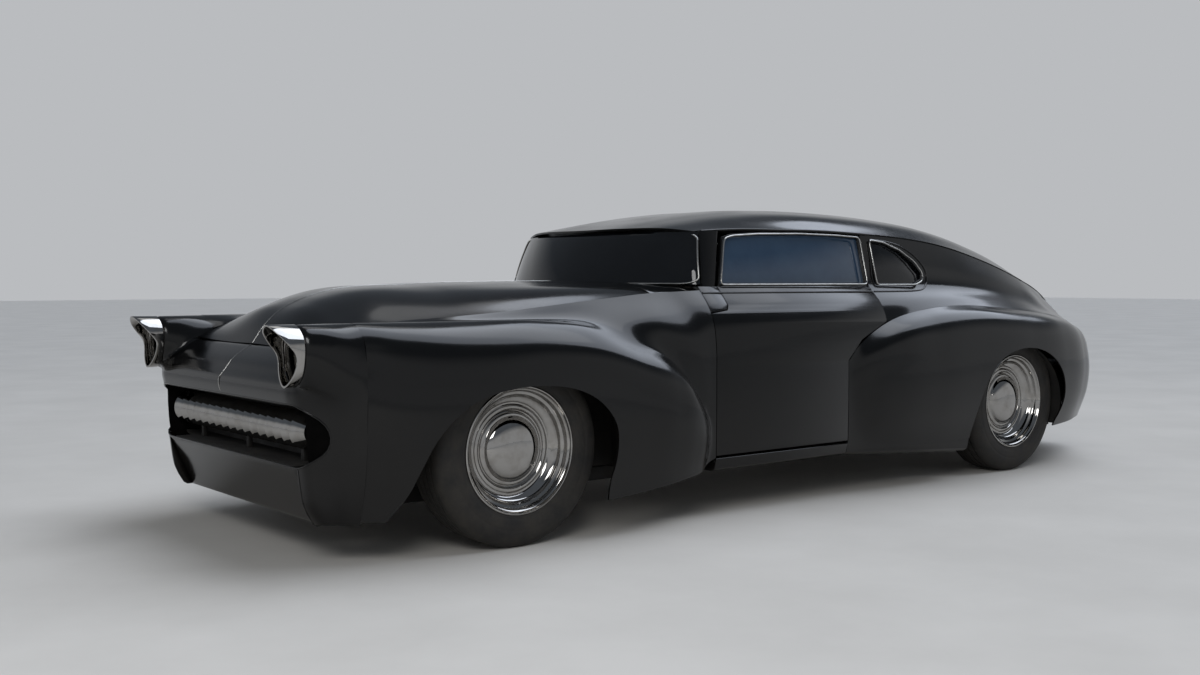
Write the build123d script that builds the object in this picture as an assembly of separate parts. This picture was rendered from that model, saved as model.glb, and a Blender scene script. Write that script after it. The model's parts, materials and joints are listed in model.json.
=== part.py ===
from build123d import *
from math import hypot
import os

# Low custom fastback car, standing parked on its wheels.
# Millimetres. X runs rearward from the nose, Y runs to the car's right, Z runs up from the road.
# The origin is on the road, on the centreline, half way along the car.

# Main sizes
wheelbase = 3200.0
front_axle_x = -1771.0
rear_axle_x = front_axle_x + wheelbase
skin = 10.0
shut_gap = 8.0
floor_z = 200.0
floor_thick = 12.0
seat_low = floor_z + floor_thick + 0.3

# Wheels
tyre_radius = 372.0
tyre_half_width = 106.0
rim_lip_radius = 246.0
rim_half_width = 100.0
wheel_centre_y = 722.0
kingpin_y = 680.0
spindle_radius = 30.0
spindle_reach = 36.0
bore_play = 0.05
drum_radius = 150.0

# Lamps: visored rings in pods on the front corners
lamp_inner_y = 588.0
lamp_outer_y = 759.0
lamp_low = 645.0
lamp_high = 864.0

# Mouth and its ring stack
mouth_half_width = 723.0
mouth_low = 351.0
mouth_high = 583.0
ring_count = 17
ring_pitch = 75.0
ring_wide_radius = 67.0
ring_narrow_radius = 49.0
grille_x = -769.0
grille_z = (mouth_low + mouth_high) / 2 + 4.0

# Doors
hinge_station = 1006.0
hinge_y = 840.0
door_end_station = 2149.0

# The tables are drawn for these two sizes, and follow the main sizes when those change.
drawn_wheelbase = 3200.0
drawn_tyre_radius = 372.0
stretch = wheelbase / drawn_wheelbase
arch_growth = tyre_radius / drawn_tyre_radius

# Body stations. Distances along the car are measured from the front axle, rearward positive.
# Lid over the engine: station, centre height, then three points (half width, height) out to the lid's edge.
hood_rows = [
    (-833, 766, 200, 765, 400, 762, 556, 757),
    (-760, 845, 200, 840, 400, 818, 556, 800),
    (-640, 934, 200, 925, 380, 888, 556, 857),
    (-418, 977, 230, 966, 430, 920, 580, 868),
    (-50, 999, 290, 988, 520, 938, 640, 885),
    (400, 1010, 360, 1001, 620, 962, 690, 930),
    (742, 1012, 380, 1004, 620, 985, 705, 955),
]

# Wing from the lid's edge out and down to its bottom lip:
# station, lid edge, foot of the slope, crown, outer shoulder, widest, bottom (half width, height each).
wing_rows = [
    (-640, 564, 855, 606, 852, 700, 864, 775, 820, 808, 640, 752, 160),
    (-465, 584, 863, 628, 856, 722, 864, 832, 812, 882, 640, 838, 158),
    (-200, 625, 876, 668, 858, 760, 864, 874, 800, 926, 640, 880, 154),
    (100, 667, 900, 720, 862, 800, 860, 892, 792, 935, 640, 905, 151),
    (330, 692, 925, 758, 862, 832, 828, 900, 755, 934, 610, 905, 152),
    (541, 706, 945, 790, 850, 842, 760, 902, 690, 932, 540, 900, 166),
    (714, 713, 960, 810, 830, 832, 705, 896, 635, 926, 480, 890, 184),
    (830, 716, 965, 820, 800, 832, 620, 888, 560, 912, 420, 872, 198),
    (905, 718, 968, 822, 790, 832, 525, 872, 470, 886, 380, 850, 208),
    (965, 719, 970, 824, 785, 831, 440, 838, 410, 842, 350, 828, 240),
    (1003, 720, 972, 825, 780, 830, 440, 830, 400, 830, 350, 826, 258),
]

# Roof and fastback: station, centre height, then three points out to the roof's edge.
roof_rows = [
    (1100, 1264, 300, 1259, 480, 1250, 610, 1236),
    (1300, 1318, 330, 1308, 520, 1280, 632, 1246),
    (1580, 1352, 348, 1340, 545, 1298, 643, 1250),
    (1860, 1363, 360, 1350, 560, 1305, 648, 1251),
    (2165, 1361, 360, 1348, 555, 1302, 648, 1243),
    (2460, 1352, 350, 1338, 542, 1291, 642, 1230),
    (2790, 1327, 338, 1313, 520, 1266, 624, 1200),
    (3200, 1262, 312, 1248, 474, 1204, 584, 1132),
    (3560, 1162, 282, 1150, 440, 1114, 543, 1052),
    (3716, 1105, 270, 1094, 420, 1062, 520, 1012),
]

# Body side behind the door, from the roof's edge down to the top of the rear wing.
quarter_rows = [
    (2138, 649, 1236.8, 674, 1115, 704, 992, 776, 905, 819, 813),
    (2165, 649, 1235.8, 674, 1115, 704, 992, 776, 907, 818, 818),
    (2460, 643, 1222.8, 670, 1106, 702, 988, 772, 917, 806, 872),
    (2790, 625, 1192.8, 662, 1083, 699, 976, 764, 918, 796, 886),
    (3200, 585, 1124.8, 640, 1036, 683, 948, 740, 896, 784, 862),
    (3560, 544, 1044.8, 600, 972, 648, 905, 706, 862, 769, 830),
    (3716, 521, 1004.8, 580, 938, 632, 882, 686, 840, 748, 811),
    (3830, 496, 977.8, 552, 912, 605, 860, 662, 820, 728, 790),
    (3960, 468, 939.8, 520, 884, 572, 838, 624, 800, 684, 762),
]

# Rear wing: station, top edge, crown, widest, lower side, bottom.
rear_wing_rows = [
    (1866, 829, 640, 831, 570, 832, 480, 831, 380, 828, 262),
    (1960, 829, 726, 862, 660, 878, 520, 872, 380, 832, 240),
    (2165, 818.5, 817, 872, 770, 908, 580, 904, 400, 846, 222),
    (2460, 806.5, 871, 868, 832, 926, 620, 922, 420, 862, 214),
    (2790, 796.5, 885, 866, 850, 929, 650, 926, 440, 868, 214),
    (3200, 784.5, 861, 860, 828, 929, 640, 924, 440, 868, 214),
    (3560, 769.5, 829, 846, 790, 908, 610, 900, 420, 846, 222),
    (3830, 728.5, 789, 790, 750, 850, 580, 842, 410, 786, 236),
    (4040, 664, 726, 696, 700, 742, 560, 736, 410, 690, 260),
    (4118, 618, 684, 634, 650, 656, 540, 654, 430, 636, 300),
]

# Tail below the boot lid, on each side: station, lid edge, then five points down to the bottom.
tail_rows = [
    (3960, 466, 921, 540, 850, 600, 760, 632, 640, 640, 450, 626, 230),
    (4130, 418, 884, 500, 806, 560, 715, 600, 600, 612, 430, 596, 226),
    (4320, 350, 788, 420, 725, 468, 645, 500, 550, 508, 400, 494, 222),
    (4440, 298, 696, 344, 648, 372, 590, 388, 510, 390, 380, 380, 222),
]

# Lid over the boot: station, centre height, then three points (half width, height) out to the lid's edge.
boot_rows = [
    (3726, 1102, 250, 1094, 400, 1064, 500, 1018),
    (3900, 1047, 240, 1040, 380, 1012, 470, 972),
    (4130, 955, 220, 948, 330, 926, 410, 892),
    (4320, 846, 190, 840, 280, 822, 340, 798),
    (4425, 742, 160, 738, 240, 726, 290, 712),
]

# Nose panel by heights: height, front station, flat half width, corner station and half width, side half width.
nose_rows = [
    (150, -745, 600, -705, 690, 745),
    (260, -785, 600, -735, 705, 778),
    (387, -825, 590, -758, 715, 798),
    (480, -840, 585, -764, 722, 804),
    (580, -856, 580, -775, 728, 808),
    (640, -890, 575, -800, 735, 810),
    (680, -894, 575, -800, 735, 808),
    (742, -856, 562, -792, 728, 802),
]

# Lamp pod: station, inner and outer half width, low and high edge.
pod_rows = [
    (-850, lamp_inner_y, lamp_outer_y, lamp_low, lamp_high - 2),
    (-760, 574, 784, 640, 864),
    (-641, 566, 802, 620, 864),
]

# Wheel arches: distance behind the axle and height.
front_arch_points = [
    (-590, 120), (-575, 150), (-500, 245), (-462, 340), (-410, 460), (-310, 560), (-170, 612), (-20, 626),
    (130, 616), (240, 585), (325, 530), (382, 459), (397, 386), (392, 298), (368, 232), (362, 120),
]
rear_arch_points = [
    (-460, 120), (-452, 300), (-432, 430), (-370, 540), (-270, 618), (-140, 655), (0, 664),
    (140, 640), (260, 575), (345, 480), (380, 380), (368, 300), (320, 235), (300, 120),
]

# Door skin seen from the front, and the door's lining behind it.
door_knots = [(828, 266), (830, 400), (830, 600), (827, 740), (806, 850), (772, 913), (727, 966), (708, 988)]
door_lining = [(664, 988), (722, 930), (768, 838), (772, 266)]
door_outline = [
    (1012, 266), (1857, 266), (1857, 643), (1953, 735), (2000, 757), (2152, 820), (2152, 988),
    (1128, 988), (1128, 905), (1112, 885), (1012, 872),
]
pillar_base_outline = [(1010, 880), (1108, 893), (1120, 910), (1120, 988), (1010, 988)]

# Side windows in side view, and the plane that they lean in: foot and head (half width, height).
door_window = [
    (1150, 1003), (1212, 1196), (1262, 1208), (1420, 1219), (1700, 1226), (1950, 1224), (2118, 1217), (2118, 1003),
]
door_window_rim = [
    (1134, 988), (1200, 1206), (1256, 1221), (1420, 1232), (1700, 1239), (1950, 1237), (2132, 1230), (2132, 988),
]
glass_foot = (703.0, 985.0)
glass_head = (641.0, 1240.0)

# Windscreen: middle station, corner station, half width, height, at its foot and its head.
screen_foot = (790.0, 1028.0, 700.0, 998.0)
screen_head = (912.0, 1078.0, 632.0, 1228.0)
screen_thick = 6.0

# Rear window in plan: station, half width.
rear_window_plan = [(3130, -400), (3130, 400), (3560, 330), (3560, -330)]

# Steering column: station, half width, height of its foot and head.
column_foot = (1060.0, -360.0, 690.0)
column_head = (1330.0, -360.0, 800.0)
steering_ring_radius = 195.0
steering_ring_thick = 13.0
shaft_radius = 12.0

# Frame and exhaust
rail_inner_y = 330.0
rail_outer_y = 400.0
rail_low = 140.0
rail_high = floor_z
cross_stations = (-520, 700, 2000, 2640, 4100)
cross_length = 60.0
pipe_y = 240.0
pipe_z = 158.0
pipe_radius = 22.0

# Suspension and axle
arm_eye_radius = 36.0
cradle_top = 260.0
upper_arm_z = 490.0
lower_arm_z = 226.0
axle_tube_radius = 38.0
axle_ball_radius = 128.0
boot_floor_z = tyre_radius + axle_ball_radius + 12.0


def at(station):
    return front_axle_x + station * stretch


def pairs(row, start=1):
    return [(row[i], row[i + 1]) for i in range(start, len(row), 2)]


def crowned(row):
    return [(0.0, row[1])] + pairs(row, 2)


def mirrored(points):
    left = [(-y, z) for y, z in reversed(points)]
    return left + points[1:]


def bend(a, b, c, d):
    """Half way point on the smooth curve from b to c, with a and d as neighbours."""
    return tuple((9 * (b[k] + c[k]) - a[k] - d[k]) / 16 for k in range(len(b)))


def with_middles(knots):
    """The knots with one point of the smooth curve put in between each two."""
    before = tuple(2 * p - q for p, q in zip(knots[0], knots[1]))
    after = tuple(2 * p - q for p, q in zip(knots[-1], knots[-2]))
    run = [before] + list(knots) + [after]
    out = []
    for i in range(1, len(run) - 2):
        out.append(run[i])
        out.append(bend(run[i - 1], run[i], run[i + 1], run[i + 2]))
    out.append(run[-2])
    return out


def pushed_in(points, depth):
    """The same chain moved sideways by depth, to the right of its own direction."""
    out = []
    last = len(points) - 1
    for i, (p, q) in enumerate(points):
        before = points[max(i - 1, 0)]
        after = points[min(i + 1, last)]
        dp = after[0] - before[0]
        dq = after[1] - before[1]
        size = hypot(dp, dq)
        out.append((p + dq / size * depth, q - dp / size * depth))
    return out


def arcs(points):
    """Arcs through each three points of a chain, or a line where they are straight."""
    edges = []
    for i in range(0, len(points) - 2, 2):
        a, b, c = points[i], points[i + 1], points[i + 2]
        chord = Vector(*c) - Vector(*a)
        rise = (Vector(*b) - Vector(*a)).cross(chord).length
        if rise < 0.02 * chord.length:
            edges.append(Edge.make_line(a, c))
        else:
            edges.append(Edge.make_three_point_arc(a, b, c))
    return edges


def chords(points):
    """Straight lines over the same stretches, for the side that is not seen."""
    ends = points[::2]
    return [Edge.make_line(a, b) for a, b in zip(ends, ends[1:])]


def sheet_slice(outer, place, depth=skin):
    """A closed slice of a sheet: curved outer chain, plain inner chain and two short ends."""
    outside = [place(p, q) for p, q in outer]
    inside = [place(p, q) for p, q in pushed_in(outer, depth)]
    edges = arcs(outside)
    edges.append(Edge.make_line(outside[-1], inside[-1]))
    edges += chords(list(reversed(inside)))
    edges.append(Edge.make_line(inside[0], outside[0]))
    return Wire(edges)


def across(station, side=1):
    return lambda y, z: (at(station), side * y, z)


def lid_sheet(rows, depth=skin, lift=0.0):
    slices = []
    for row in rows:
        knots = mirrored([(y, z + lift) for y, z in crowned(row)])
        slices.append(sheet_slice(with_middles(knots), across(row[0]), depth))
    return Solid.make_loft(slices, True)


def side_sheet(rows, side):
    slices = [sheet_slice(with_middles(pairs(row)), across(row[0], side)) for row in rows]
    return Solid.make_loft(slices, True)


def box(x0, x1, y0, y1, z0, z1):
    block = Box(abs(x1 - x0), abs(y1 - y0), abs(z1 - z0))
    return Pos((x0 + x1) / 2, (y0 + y1) / 2, (z0 + z1) / 2) * block


def prism(corners, way, length):
    face = Face(Wire.make_polygon([Vector(*p) for p in corners], close=True))
    return extrude(face, amount=length, dir=way)


def side_prism(outline, y0, y1):
    """A prism across the car: the outline is drawn in side view (station, height)."""
    corners = [(at(x), y0, z) for x, z in outline]
    return prism(corners, (0, 1 if y1 > y0 else -1, 0), abs(y1 - y0))


def front_prism(outline, x0, x1):
    corners = [(x0, y, z) for y, z in outline]
    return prism(corners, (1, 0, 0), x1 - x0)


def plan_prism(outline, z0, z1):
    corners = [(x, y, z0) for x, y in outline]
    return prism(corners, (0, 0, 1), z1 - z0)


def rod(a, b, radius):
    a = Vector(*a)
    b = Vector(*b)
    plane = Plane(origin=a, z_dir=(b - a).normalized())
    return Solid.make_cylinder(radius, (b - a).length, plane)


def turned(profile, x, y, z, side=1):
    """A ring or disc round the line across the car: profile of (radius, distance from the middle)."""
    points = [Vector(x, y + side * d, z + r) for r, d in profile]
    face = Face(Wire.make_polygon(points, close=True))
    return revolve(face, Axis((x, y, z), (0, 1, 0)), 360)


def both(make):
    return Compound([make(-1), make(1)])


def engine_lid():
    return lid_sheet(hood_rows)


def boot_lid():
    return lid_sheet(boot_rows)


def arch(points, axle_x, side):
    corners = [(axle_x + x * arch_growth, side * 600, z * arch_growth) for x, z in points]
    return prism(corners, (0, side, 0), 400)


def front_wing(side):
    return side_sheet(wing_rows, side) - arch(front_arch_points, front_axle_x, side)


def rear_wing(side):
    return side_sheet(rear_wing_rows, side) - arch(rear_arch_points, rear_axle_x, side)


def quarter_window(grow=0.0):
    """Outline of the small window behind the door, in side view."""
    low = 990 - grow
    return [(2200 - grow, low), (2195 - grow, 1216 + grow), (2300, 1206 + grow), (2420, 1168 + grow),
            (2520 + grow, 1112 + grow), (2572 + grow, 1050), (2560 + grow, 1010 - grow), (2500, low)]


def hinge_cylinder(side, radius):
    middle = (at(hinge_station), side * hinge_y)
    return rod((*middle, 150), (*middle, 1400), radius)


door_reach = at(door_end_station) - at(hinge_station)


def quarter_panel(side):
    hole = side_prism(quarter_window(), side * 560, side * 740)
    return side_sheet(quarter_rows, side) - hole - hinge_cylinder(side, door_reach + shut_gap)


def rear_window_block(play=0.0):
    corners = []
    for station, y in rear_window_plan:
        ahead = play if station < 3300 else -play
        corners.append((at(station) + ahead, y - play if y > 0 else y + play))
    return plan_prism(corners, 900, 1400)


def roof():
    return lid_sheet(roof_rows) - rear_window_block()


def rear_window():
    return lid_sheet(roof_rows, 5.0, -3.0) & rear_window_block(0.3)


def nose_slice(row):
    z, front, half, corner_x, corner_y, side_y = row
    side_mid = ((corner_x - 640) / 2, (side_y + corner_y) / 2 + 8)
    turn = (front + 18, half + 62)
    side_chain = with_middles([(-640.0, side_y), side_mid, (corner_x, corner_y), turn, (front, half)])
    far_chain = [(x, -y) for x, y in reversed(side_chain)]
    chain = side_chain + [(front, 0.0)] + far_chain
    return sheet_slice(chain, lambda x, y: (at(x), y, z))


def pill(half_width, low, high, x0, x1):
    radius = (high - low) / 2
    middle = (high + low) / 2
    straight = half_width - radius
    shape = box(x0, x1, -straight, straight, low, high)
    shape += rod((x0, straight, middle), (x1, straight, middle), radius)
    shape += rod((x0, -straight, middle), (x1, -straight, middle), radius)
    return shape


def egg_wire(station, inner_y, outer_y, low, high, side, shrink=0.0):
    """Lamp outline seen from the front: round top, narrower bottom."""
    a = inner_y + shrink
    width = outer_y - shrink - a
    c = low + shrink
    tall = high - shrink - c
    shares = [(0.5, 1.0), (0.90, 0.84), (1.0, 0.56), (0.86, 0.20), (0.5, 0.0), (0.14, 0.20), (0.0, 0.56), (0.10, 0.84)]
    points = [Vector(at(station), side * (a + width * p), c + tall * q) for p, q in shares + shares[:1]]
    return Wire([Edge.make_three_point_arc(points[i], points[i + 1], points[i + 2]) for i in range(0, 8, 2)])


def egg_loft(rows, side, shrink=0.0):
    return Solid.make_loft([egg_wire(*row, side, shrink) for row in rows], True)


def moved(row, station):
    return (station,) + row[1:]


def lamp_pod(side):
    hollow = [moved(pod_rows[0], -870), pod_rows[1], moved(pod_rows[2], -630)]
    return egg_loft(pod_rows, side) - egg_loft(hollow, side, 8.0)


def lamp_ring(side):
    mouth = (lamp_inner_y, lamp_outer_y, lamp_low, lamp_high)
    back = (lamp_inner_y, lamp_outer_y, lamp_low, lamp_high - 2)
    body = egg_loft([(-960, *mouth), (-850, *back)], side)
    bore = [(-970, *mouth), (-900, 594, 753, 655, 856), (-840, 598, 749, 661, 852)]
    body -= egg_loft(bore, side, 6.0)
    visor = [(-1100, 900), (-954, 880), (-953, 862), (-877, 755), (-890, 645), (-892, 600), (-1100, 600)]
    return body - side_prism(visor, side * 560, side * 790)


def lamp_lens(side):
    front = (-815, 581.0, 771.5, 642.5, 863.0)
    back = (-790, 577.8, 777.2, 641.4, 863.5)
    return egg_loft([front, back], side, 8.3)


def nose_panel():
    shell = Solid.make_loft([nose_slice(row) for row in nose_rows], True)
    shell -= pill(mouth_half_width, mouth_low, mouth_high, at(-1000), at(-600))
    shell -= box(at(-1000), at(-600), -616, 616, 100, mouth_low + 15)
    for side in (-1, 1):
        shell -= egg_loft(pod_rows, side)
        shell -= egg_loft([moved(pod_rows[0], -1000), pod_rows[0]], side, -0.3)
    return shell


def front_pan():
    outline = [(-820, 346), (-812, 351), (-800, 346), (-676, 139), (-690, 139), (-700, 143)]
    return side_prism(outline, -615.7, 615.7)


def mouth_recess():
    play = 0.3
    wall = 8.0
    inset = play + wall
    shell = pill(mouth_half_width - play, mouth_low + play, mouth_high - play, at(-730), at(-640))
    shell -= pill(mouth_half_width - inset, mouth_low + inset, mouth_high - inset, at(-740), at(-648))
    upper = box(at(-838), at(-730), -560, 560, mouth_high - inset, mouth_high - play)
    lower = box(at(-812), at(-730), -560, 560, mouth_low + play, mouth_low + inset)
    return shell + upper + lower


def ring_stack():
    """Cone rings in a row, each one's narrow end set in the next one's wide mouth, on three short legs."""
    start = -ring_count * ring_pitch / 2
    profile = [(0.0, start)]
    for i in range(ring_count):
        left = start + i * ring_pitch
        profile.append((ring_narrow_radius, left))
        profile.append((ring_wide_radius, left + ring_pitch))
    profile.append((0.0, start + ring_count * ring_pitch))
    stack = turned(profile, at(grille_x), 0, grille_z)
    for i in (2, ring_count // 2, ring_count - 3):
        y = start + i * ring_pitch + 14
        stack += rod((at(grille_x), y, mouth_low + 8.3), (at(grille_x), y, grille_z - ring_narrow_radius + 8), 9.0)
    return stack


def door_block(side, outline):
    """A length of the door's own section, cut to an outline drawn in side view."""
    skin_points = [(at(1000), side * y, z) for y, z in with_middles(door_knots)]
    lining = [skin_points[-1]] + [(at(1000), side * y, z) for y, z in door_lining] + [skin_points[0]]
    edges = arcs(skin_points) + [Edge.make_line(a, b) for a, b in zip(lining, lining[1:])]
    block = extrude(Face(Wire(edges)), amount=1200 * stretch, dir=(1, 0, 0))
    return block & side_prism(outline, side * 500, side * 900)


def door(side):
    return door_block(side, door_outline) & hinge_cylinder(side, door_reach)


def leaning_slab(side, outside, inside):
    """The layer between two planes that lean with the side windows."""
    (foot_y, foot_z), (head_y, head_z) = glass_foot, glass_head
    lean = (head_y - foot_y) / (head_z - foot_z)
    outline = []
    for z, push in ((900, outside), (1300, outside), (1300, -inside), (900, -inside)):
        outline.append((side * (foot_y + lean * (z - foot_z) + push), z))
    return front_prism(outline, at(1000), at(2700))


def door_glass(side):
    return side_prism(door_window, side * 560, side * 760) & leaning_slab(side, -3.0, 8.0)


def door_window_trim(side):
    ring = side_prism(door_window_rim, side * 560, side * 760)
    ring -= side_prism(door_window, side * 550, side * 770)
    ring &= leaning_slab(side, 3.0, 16.0)
    return ring & hinge_cylinder(side, door_reach)


def quarter_glass(side):
    return side_prism(quarter_window(-10.0), side * 560, side * 760) & leaning_slab(side, -4.0, 9.0)


def quarter_trim(side):
    ring = side_prism(quarter_window(-0.2), side * 560, side * 760)
    ring -= side_prism(quarter_window(-10.0), side * 550, side * 770)
    return ring & leaning_slab(side, 4.0, 14.0)


def screen_slice(row):
    middle_station, corner_station, half, z = row
    front = [(at(corner_station), -half, z), (at(middle_station), 0.0, z), (at(corner_station), half, z)]
    back = [(x + screen_thick, y, z) for x, y, z in reversed(front)]
    edges = [Edge.make_three_point_arc(*front), Edge.make_line(front[2], back[0])]
    edges += [Edge.make_three_point_arc(*back), Edge.make_line(back[2], front[0])]
    return Wire(edges)


def screen_circle():
    """Centre and radius, in plan, of the arc that the windscreen's foot lies on."""
    half = screen_foot[2]
    drop = at(screen_foot[1]) - at(screen_foot[0])
    radius = (half**2 + drop**2) / (2 * drop)
    return at(screen_foot[0]) + radius, radius


def windscreen():
    return Solid.make_loft([screen_slice(screen_foot), screen_slice(screen_head)], True)


def quad(corners, side, z):
    return Wire.make_polygon([Vector(at(x), side * y, z) for x, y in corners], close=True)


def screen_pillar(side):
    low = quad([(1037, 706), (1117, 704), (1117, 672), (1052, 668)], side, 982)
    high = quad([(1086, 634), (1190, 640), (1190, 610), (1098, 604)], side, 1225.5)
    post = Solid.make_loft([low, high], True)
    return post + door_block(side, pillar_base_outline)


def cowl():
    rows = [(750, 1012, 380, 1004, 620, 985, 698, 958), (1110, 1014, 380, 1006, 620, 992, 700, 979)]
    middle, radius = screen_circle()
    shell = lid_sheet(rows) - rod((middle, 0, 900), (middle, 0, 1100), radius)
    for side in (-1, 1):
        shell -= box(at(1010), at(1120), side * 655, side * 720, 900, 1000)
    return shell


def dashboard():
    """Instrument panel with the shelf that runs forward to the windscreen's foot."""
    outline = [(780, 986), (780, 966), (1064, 966), (1076, 880), (1110, 860), (1180, 862), (1196, 900),
               (1190, 940), (1160, 964), (1080, 988)]
    middle, radius = screen_circle()
    return side_prism(outline, -645, 645) & rod((middle, 0, 800), (middle, 0, 1100), radius)


def firewall():
    return box(at(752), at(762), -690, 690, floor_z, 930)


def floor():
    low = box(at(762), at(2738), -705, 705, floor_z, floor_z + floor_thick)
    step = box(at(2738), at(2750), -572, 572, floor_z, boot_floor_z + floor_thick)
    half = [(2740, 572), (3950, 572), (4439.7, 370)]
    corners = [(at(x), y) for x, y in half] + [(at(x), -y) for x, y in reversed(half)]
    return low + step + plan_prism(corners, boot_floor_z, boot_floor_z + floor_thick)


def rocker(side):
    outline = [(side * y, z) for y, z in ((820, 256), (827, 250), (815, 206), (795, 196), (705, 196), (705, 256))]
    return front_prism(outline, at(1012), at(1860))


def frame_rail(side):
    return box(at(-676), at(4200), side * rail_inner_y, side * rail_outer_y, rail_low, rail_high)


def cross_members():
    low = pipe_z + pipe_radius + 0.3
    members = []
    for station in cross_stations:
        front = at(station)
        members.append(box(front, front + cross_length, -rail_inner_y, rail_inner_y, low, rail_high))
    return Compound(members)


def exhaust(side):
    return rod((at(690), side * pipe_y, pipe_z), (at(4440), side * pipe_y, pipe_z), pipe_radius)


def wishbone(side, z0, z1, spread):
    outer = side * kingpin_y
    inner = side * rail_inner_y
    corners = [(at(0) - spread, inner), (at(0) + spread, inner), (at(0) + 30, outer), (at(0) - 30, outer)]
    return plan_prism(corners, z0, z1) + rod((at(0), outer, z0), (at(0), outer, z1), arm_eye_radius)


def front_suspension():
    shape = box(at(0) - 90, at(0) + 90, -rail_outer_y, rail_outer_y, rail_high, cradle_top)
    for side in (-1, 1):
        shape += box(at(0) - 90, at(0) + 90, side * 290, side * rail_inner_y, rail_high, upper_arm_z + 30)
        shape += wishbone(side, lower_arm_z, lower_arm_z + 24, 85)
        shape += wishbone(side, upper_arm_z, upper_arm_z + 20, 80)
    return shape


def drum(x, inner_y, depth, side):
    profile = [(0, 0), (drum_radius, 0), (drum_radius, depth), (0, depth)]
    return turned(profile, x, side * inner_y, tyre_radius, side)


def knuckle(side):
    x = front_axle_x
    low = lower_arm_z + 24.2
    high = upper_arm_z - 0.2
    post = rod((x, side * kingpin_y, low), (x, side * kingpin_y, high), arm_eye_radius)
    tip = side * (wheel_centre_y + spindle_reach)
    spindle = rod((x, side * kingpin_y, tyre_radius), (x, tip, tyre_radius), spindle_radius)
    return post + spindle + drum(x, wheel_centre_y - 4, 15, side)


def rear_axle():
    x = rear_axle_x
    z = tyre_radius
    shape = rod((x, -700, z), (x, 700, z), axle_tube_radius)
    for side in (-1, 1):
        shape += drum(x, 700, 36, side)
        shape += rod((x, side * 730, z), (x, side * (wheel_centre_y + spindle_reach), z), spindle_radius)
        shape += rod((at(2750) + 3.8, side * 300, 250), (x, side * 300, z - axle_tube_radius + 16), 16.0)
    ball = [(0, -95), (95, -80), (axle_ball_radius, 0), (95, 80), (0, 95)]
    return shape + turned(ball, x, 0, z)


def engine():
    return box(at(20), at(640), -190, 190, cradle_top, 800)


def front_inner_panel(side):
    panel = box(at(-600), at(752), side * 434, side * 442, 210, 846)
    return panel - box(at(0) - 110, at(0) + 110, side * 430, side * 446, 200, upper_arm_z + 50)


def rear_inner_panel(side):
    panel = box(at(2752), at(3640), side * 572, side * 580, 210, 780)
    hole = rod((rear_axle_x, side * 560, tyre_radius), (rear_axle_x, side * 590, tyre_radius), axle_tube_radius + 22)
    return panel - hole


def inner_panels():
    return Compound([make(side) for make in (front_inner_panel, rear_inner_panel) for side in (-1, 1)])


def front_cushion():
    outline = [(1490, seat_low), (1490, 400), (1530, 430), (1960, 410), (1980, seat_low)]
    return side_prism(outline, -610, 610)


def front_backrest():
    outline = [(1985, seat_low), (1966, 420), (2060, 850), (2085, 870), (2130, 860), (2140, 830), (2110, seat_low)]
    return side_prism(outline, -610, 610)


def rear_cushion():
    outline = [(2300, seat_low), (2300, 390), (2340, 425), (2640, 405), (2650, seat_low)]
    return side_prism(outline, -540, 540)


def rear_backrest():
    outline = [(2655, seat_low), (2646, 410), (2728, 820), (2760, 845), (2800, 830), (2736, 540), (2736, seat_low)]
    return side_prism(outline, -540, 540)


def column_point(step):
    """A point on the steering shaft's line, step beyond the column's head."""
    a = Vector(at(column_foot[0]), column_foot[1], column_foot[2])
    b = Vector(at(column_head[0]), column_head[1], column_head[2])
    return b + (b - a).normalized() * step


def along_column(first, last, radius):
    return rod(tuple(column_point(first)), tuple(column_point(last)), radius)


def steering_column():
    tube = along_column(-660, 0, 28.0) - along_column(-200, 5, shaft_radius + bore_play)
    return tube - box(at(600), at(762), -500, -200, 400, 700)


def steering_wheel():
    way = (column_point(1) - column_point(0)).normalized()
    plane = Plane(origin=column_point(40), z_dir=way)
    thick = steering_ring_thick
    six = [(1, 0), (0.5, 0.87), (-0.5, 0.87), (-1, 0), (-0.5, -0.87), (0.5, -0.87)]
    section = Wire.make_polygon([Vector(steering_ring_radius + thick * p, 0, thick * q) for p, q in six], close=True)
    ring = revolve(Face(section), Axis.Z, 360)
    bar = Box(2 * steering_ring_radius, 30, 10)
    return plane * ring + plane * bar + along_column(6, 56, 40.0) + along_column(-150, 8, shaft_radius)


def tail_side(side):
    return side_sheet(tail_rows, side)


def tail_panel():
    """Closing panel of the tail, a shallow dish that follows the lid's and the tail sides' last slices."""
    half = [(0, 716), (160, 712), (280, 694)] + pairs(tail_rows[-1])[1:]
    loop = [(-y, z) for y, z in reversed(half[1:])] + half
    middle_z = 460
    shrink = 0.93
    front = [Vector(at(4440), y, z) for y, z in loop]
    back = [Vector(at(4488), y * shrink, middle_z + (z - middle_z) * shrink) for y, z in loop]
    return Solid.make_loft([Wire.make_polygon(front, close=True), Wire.make_polygon(back, close=True)], True)


def tail_lamp(side):
    return rod((at(4488), side * 290, 520), (at(4496), side * 290, 520), 42.0)


def tyre(axle_x, side):
    shoulder = tyre_radius - 27
    half = [(rim_lip_radius, tyre_half_width - 12), (300, tyre_half_width), (shoulder, tyre_half_width - 6), (tyre_radius, 70)]
    profile = half + [(r, -d) for r, d in reversed(half)]
    return turned(profile, axle_x, side * wheel_centre_y, tyre_radius, side)


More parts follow.
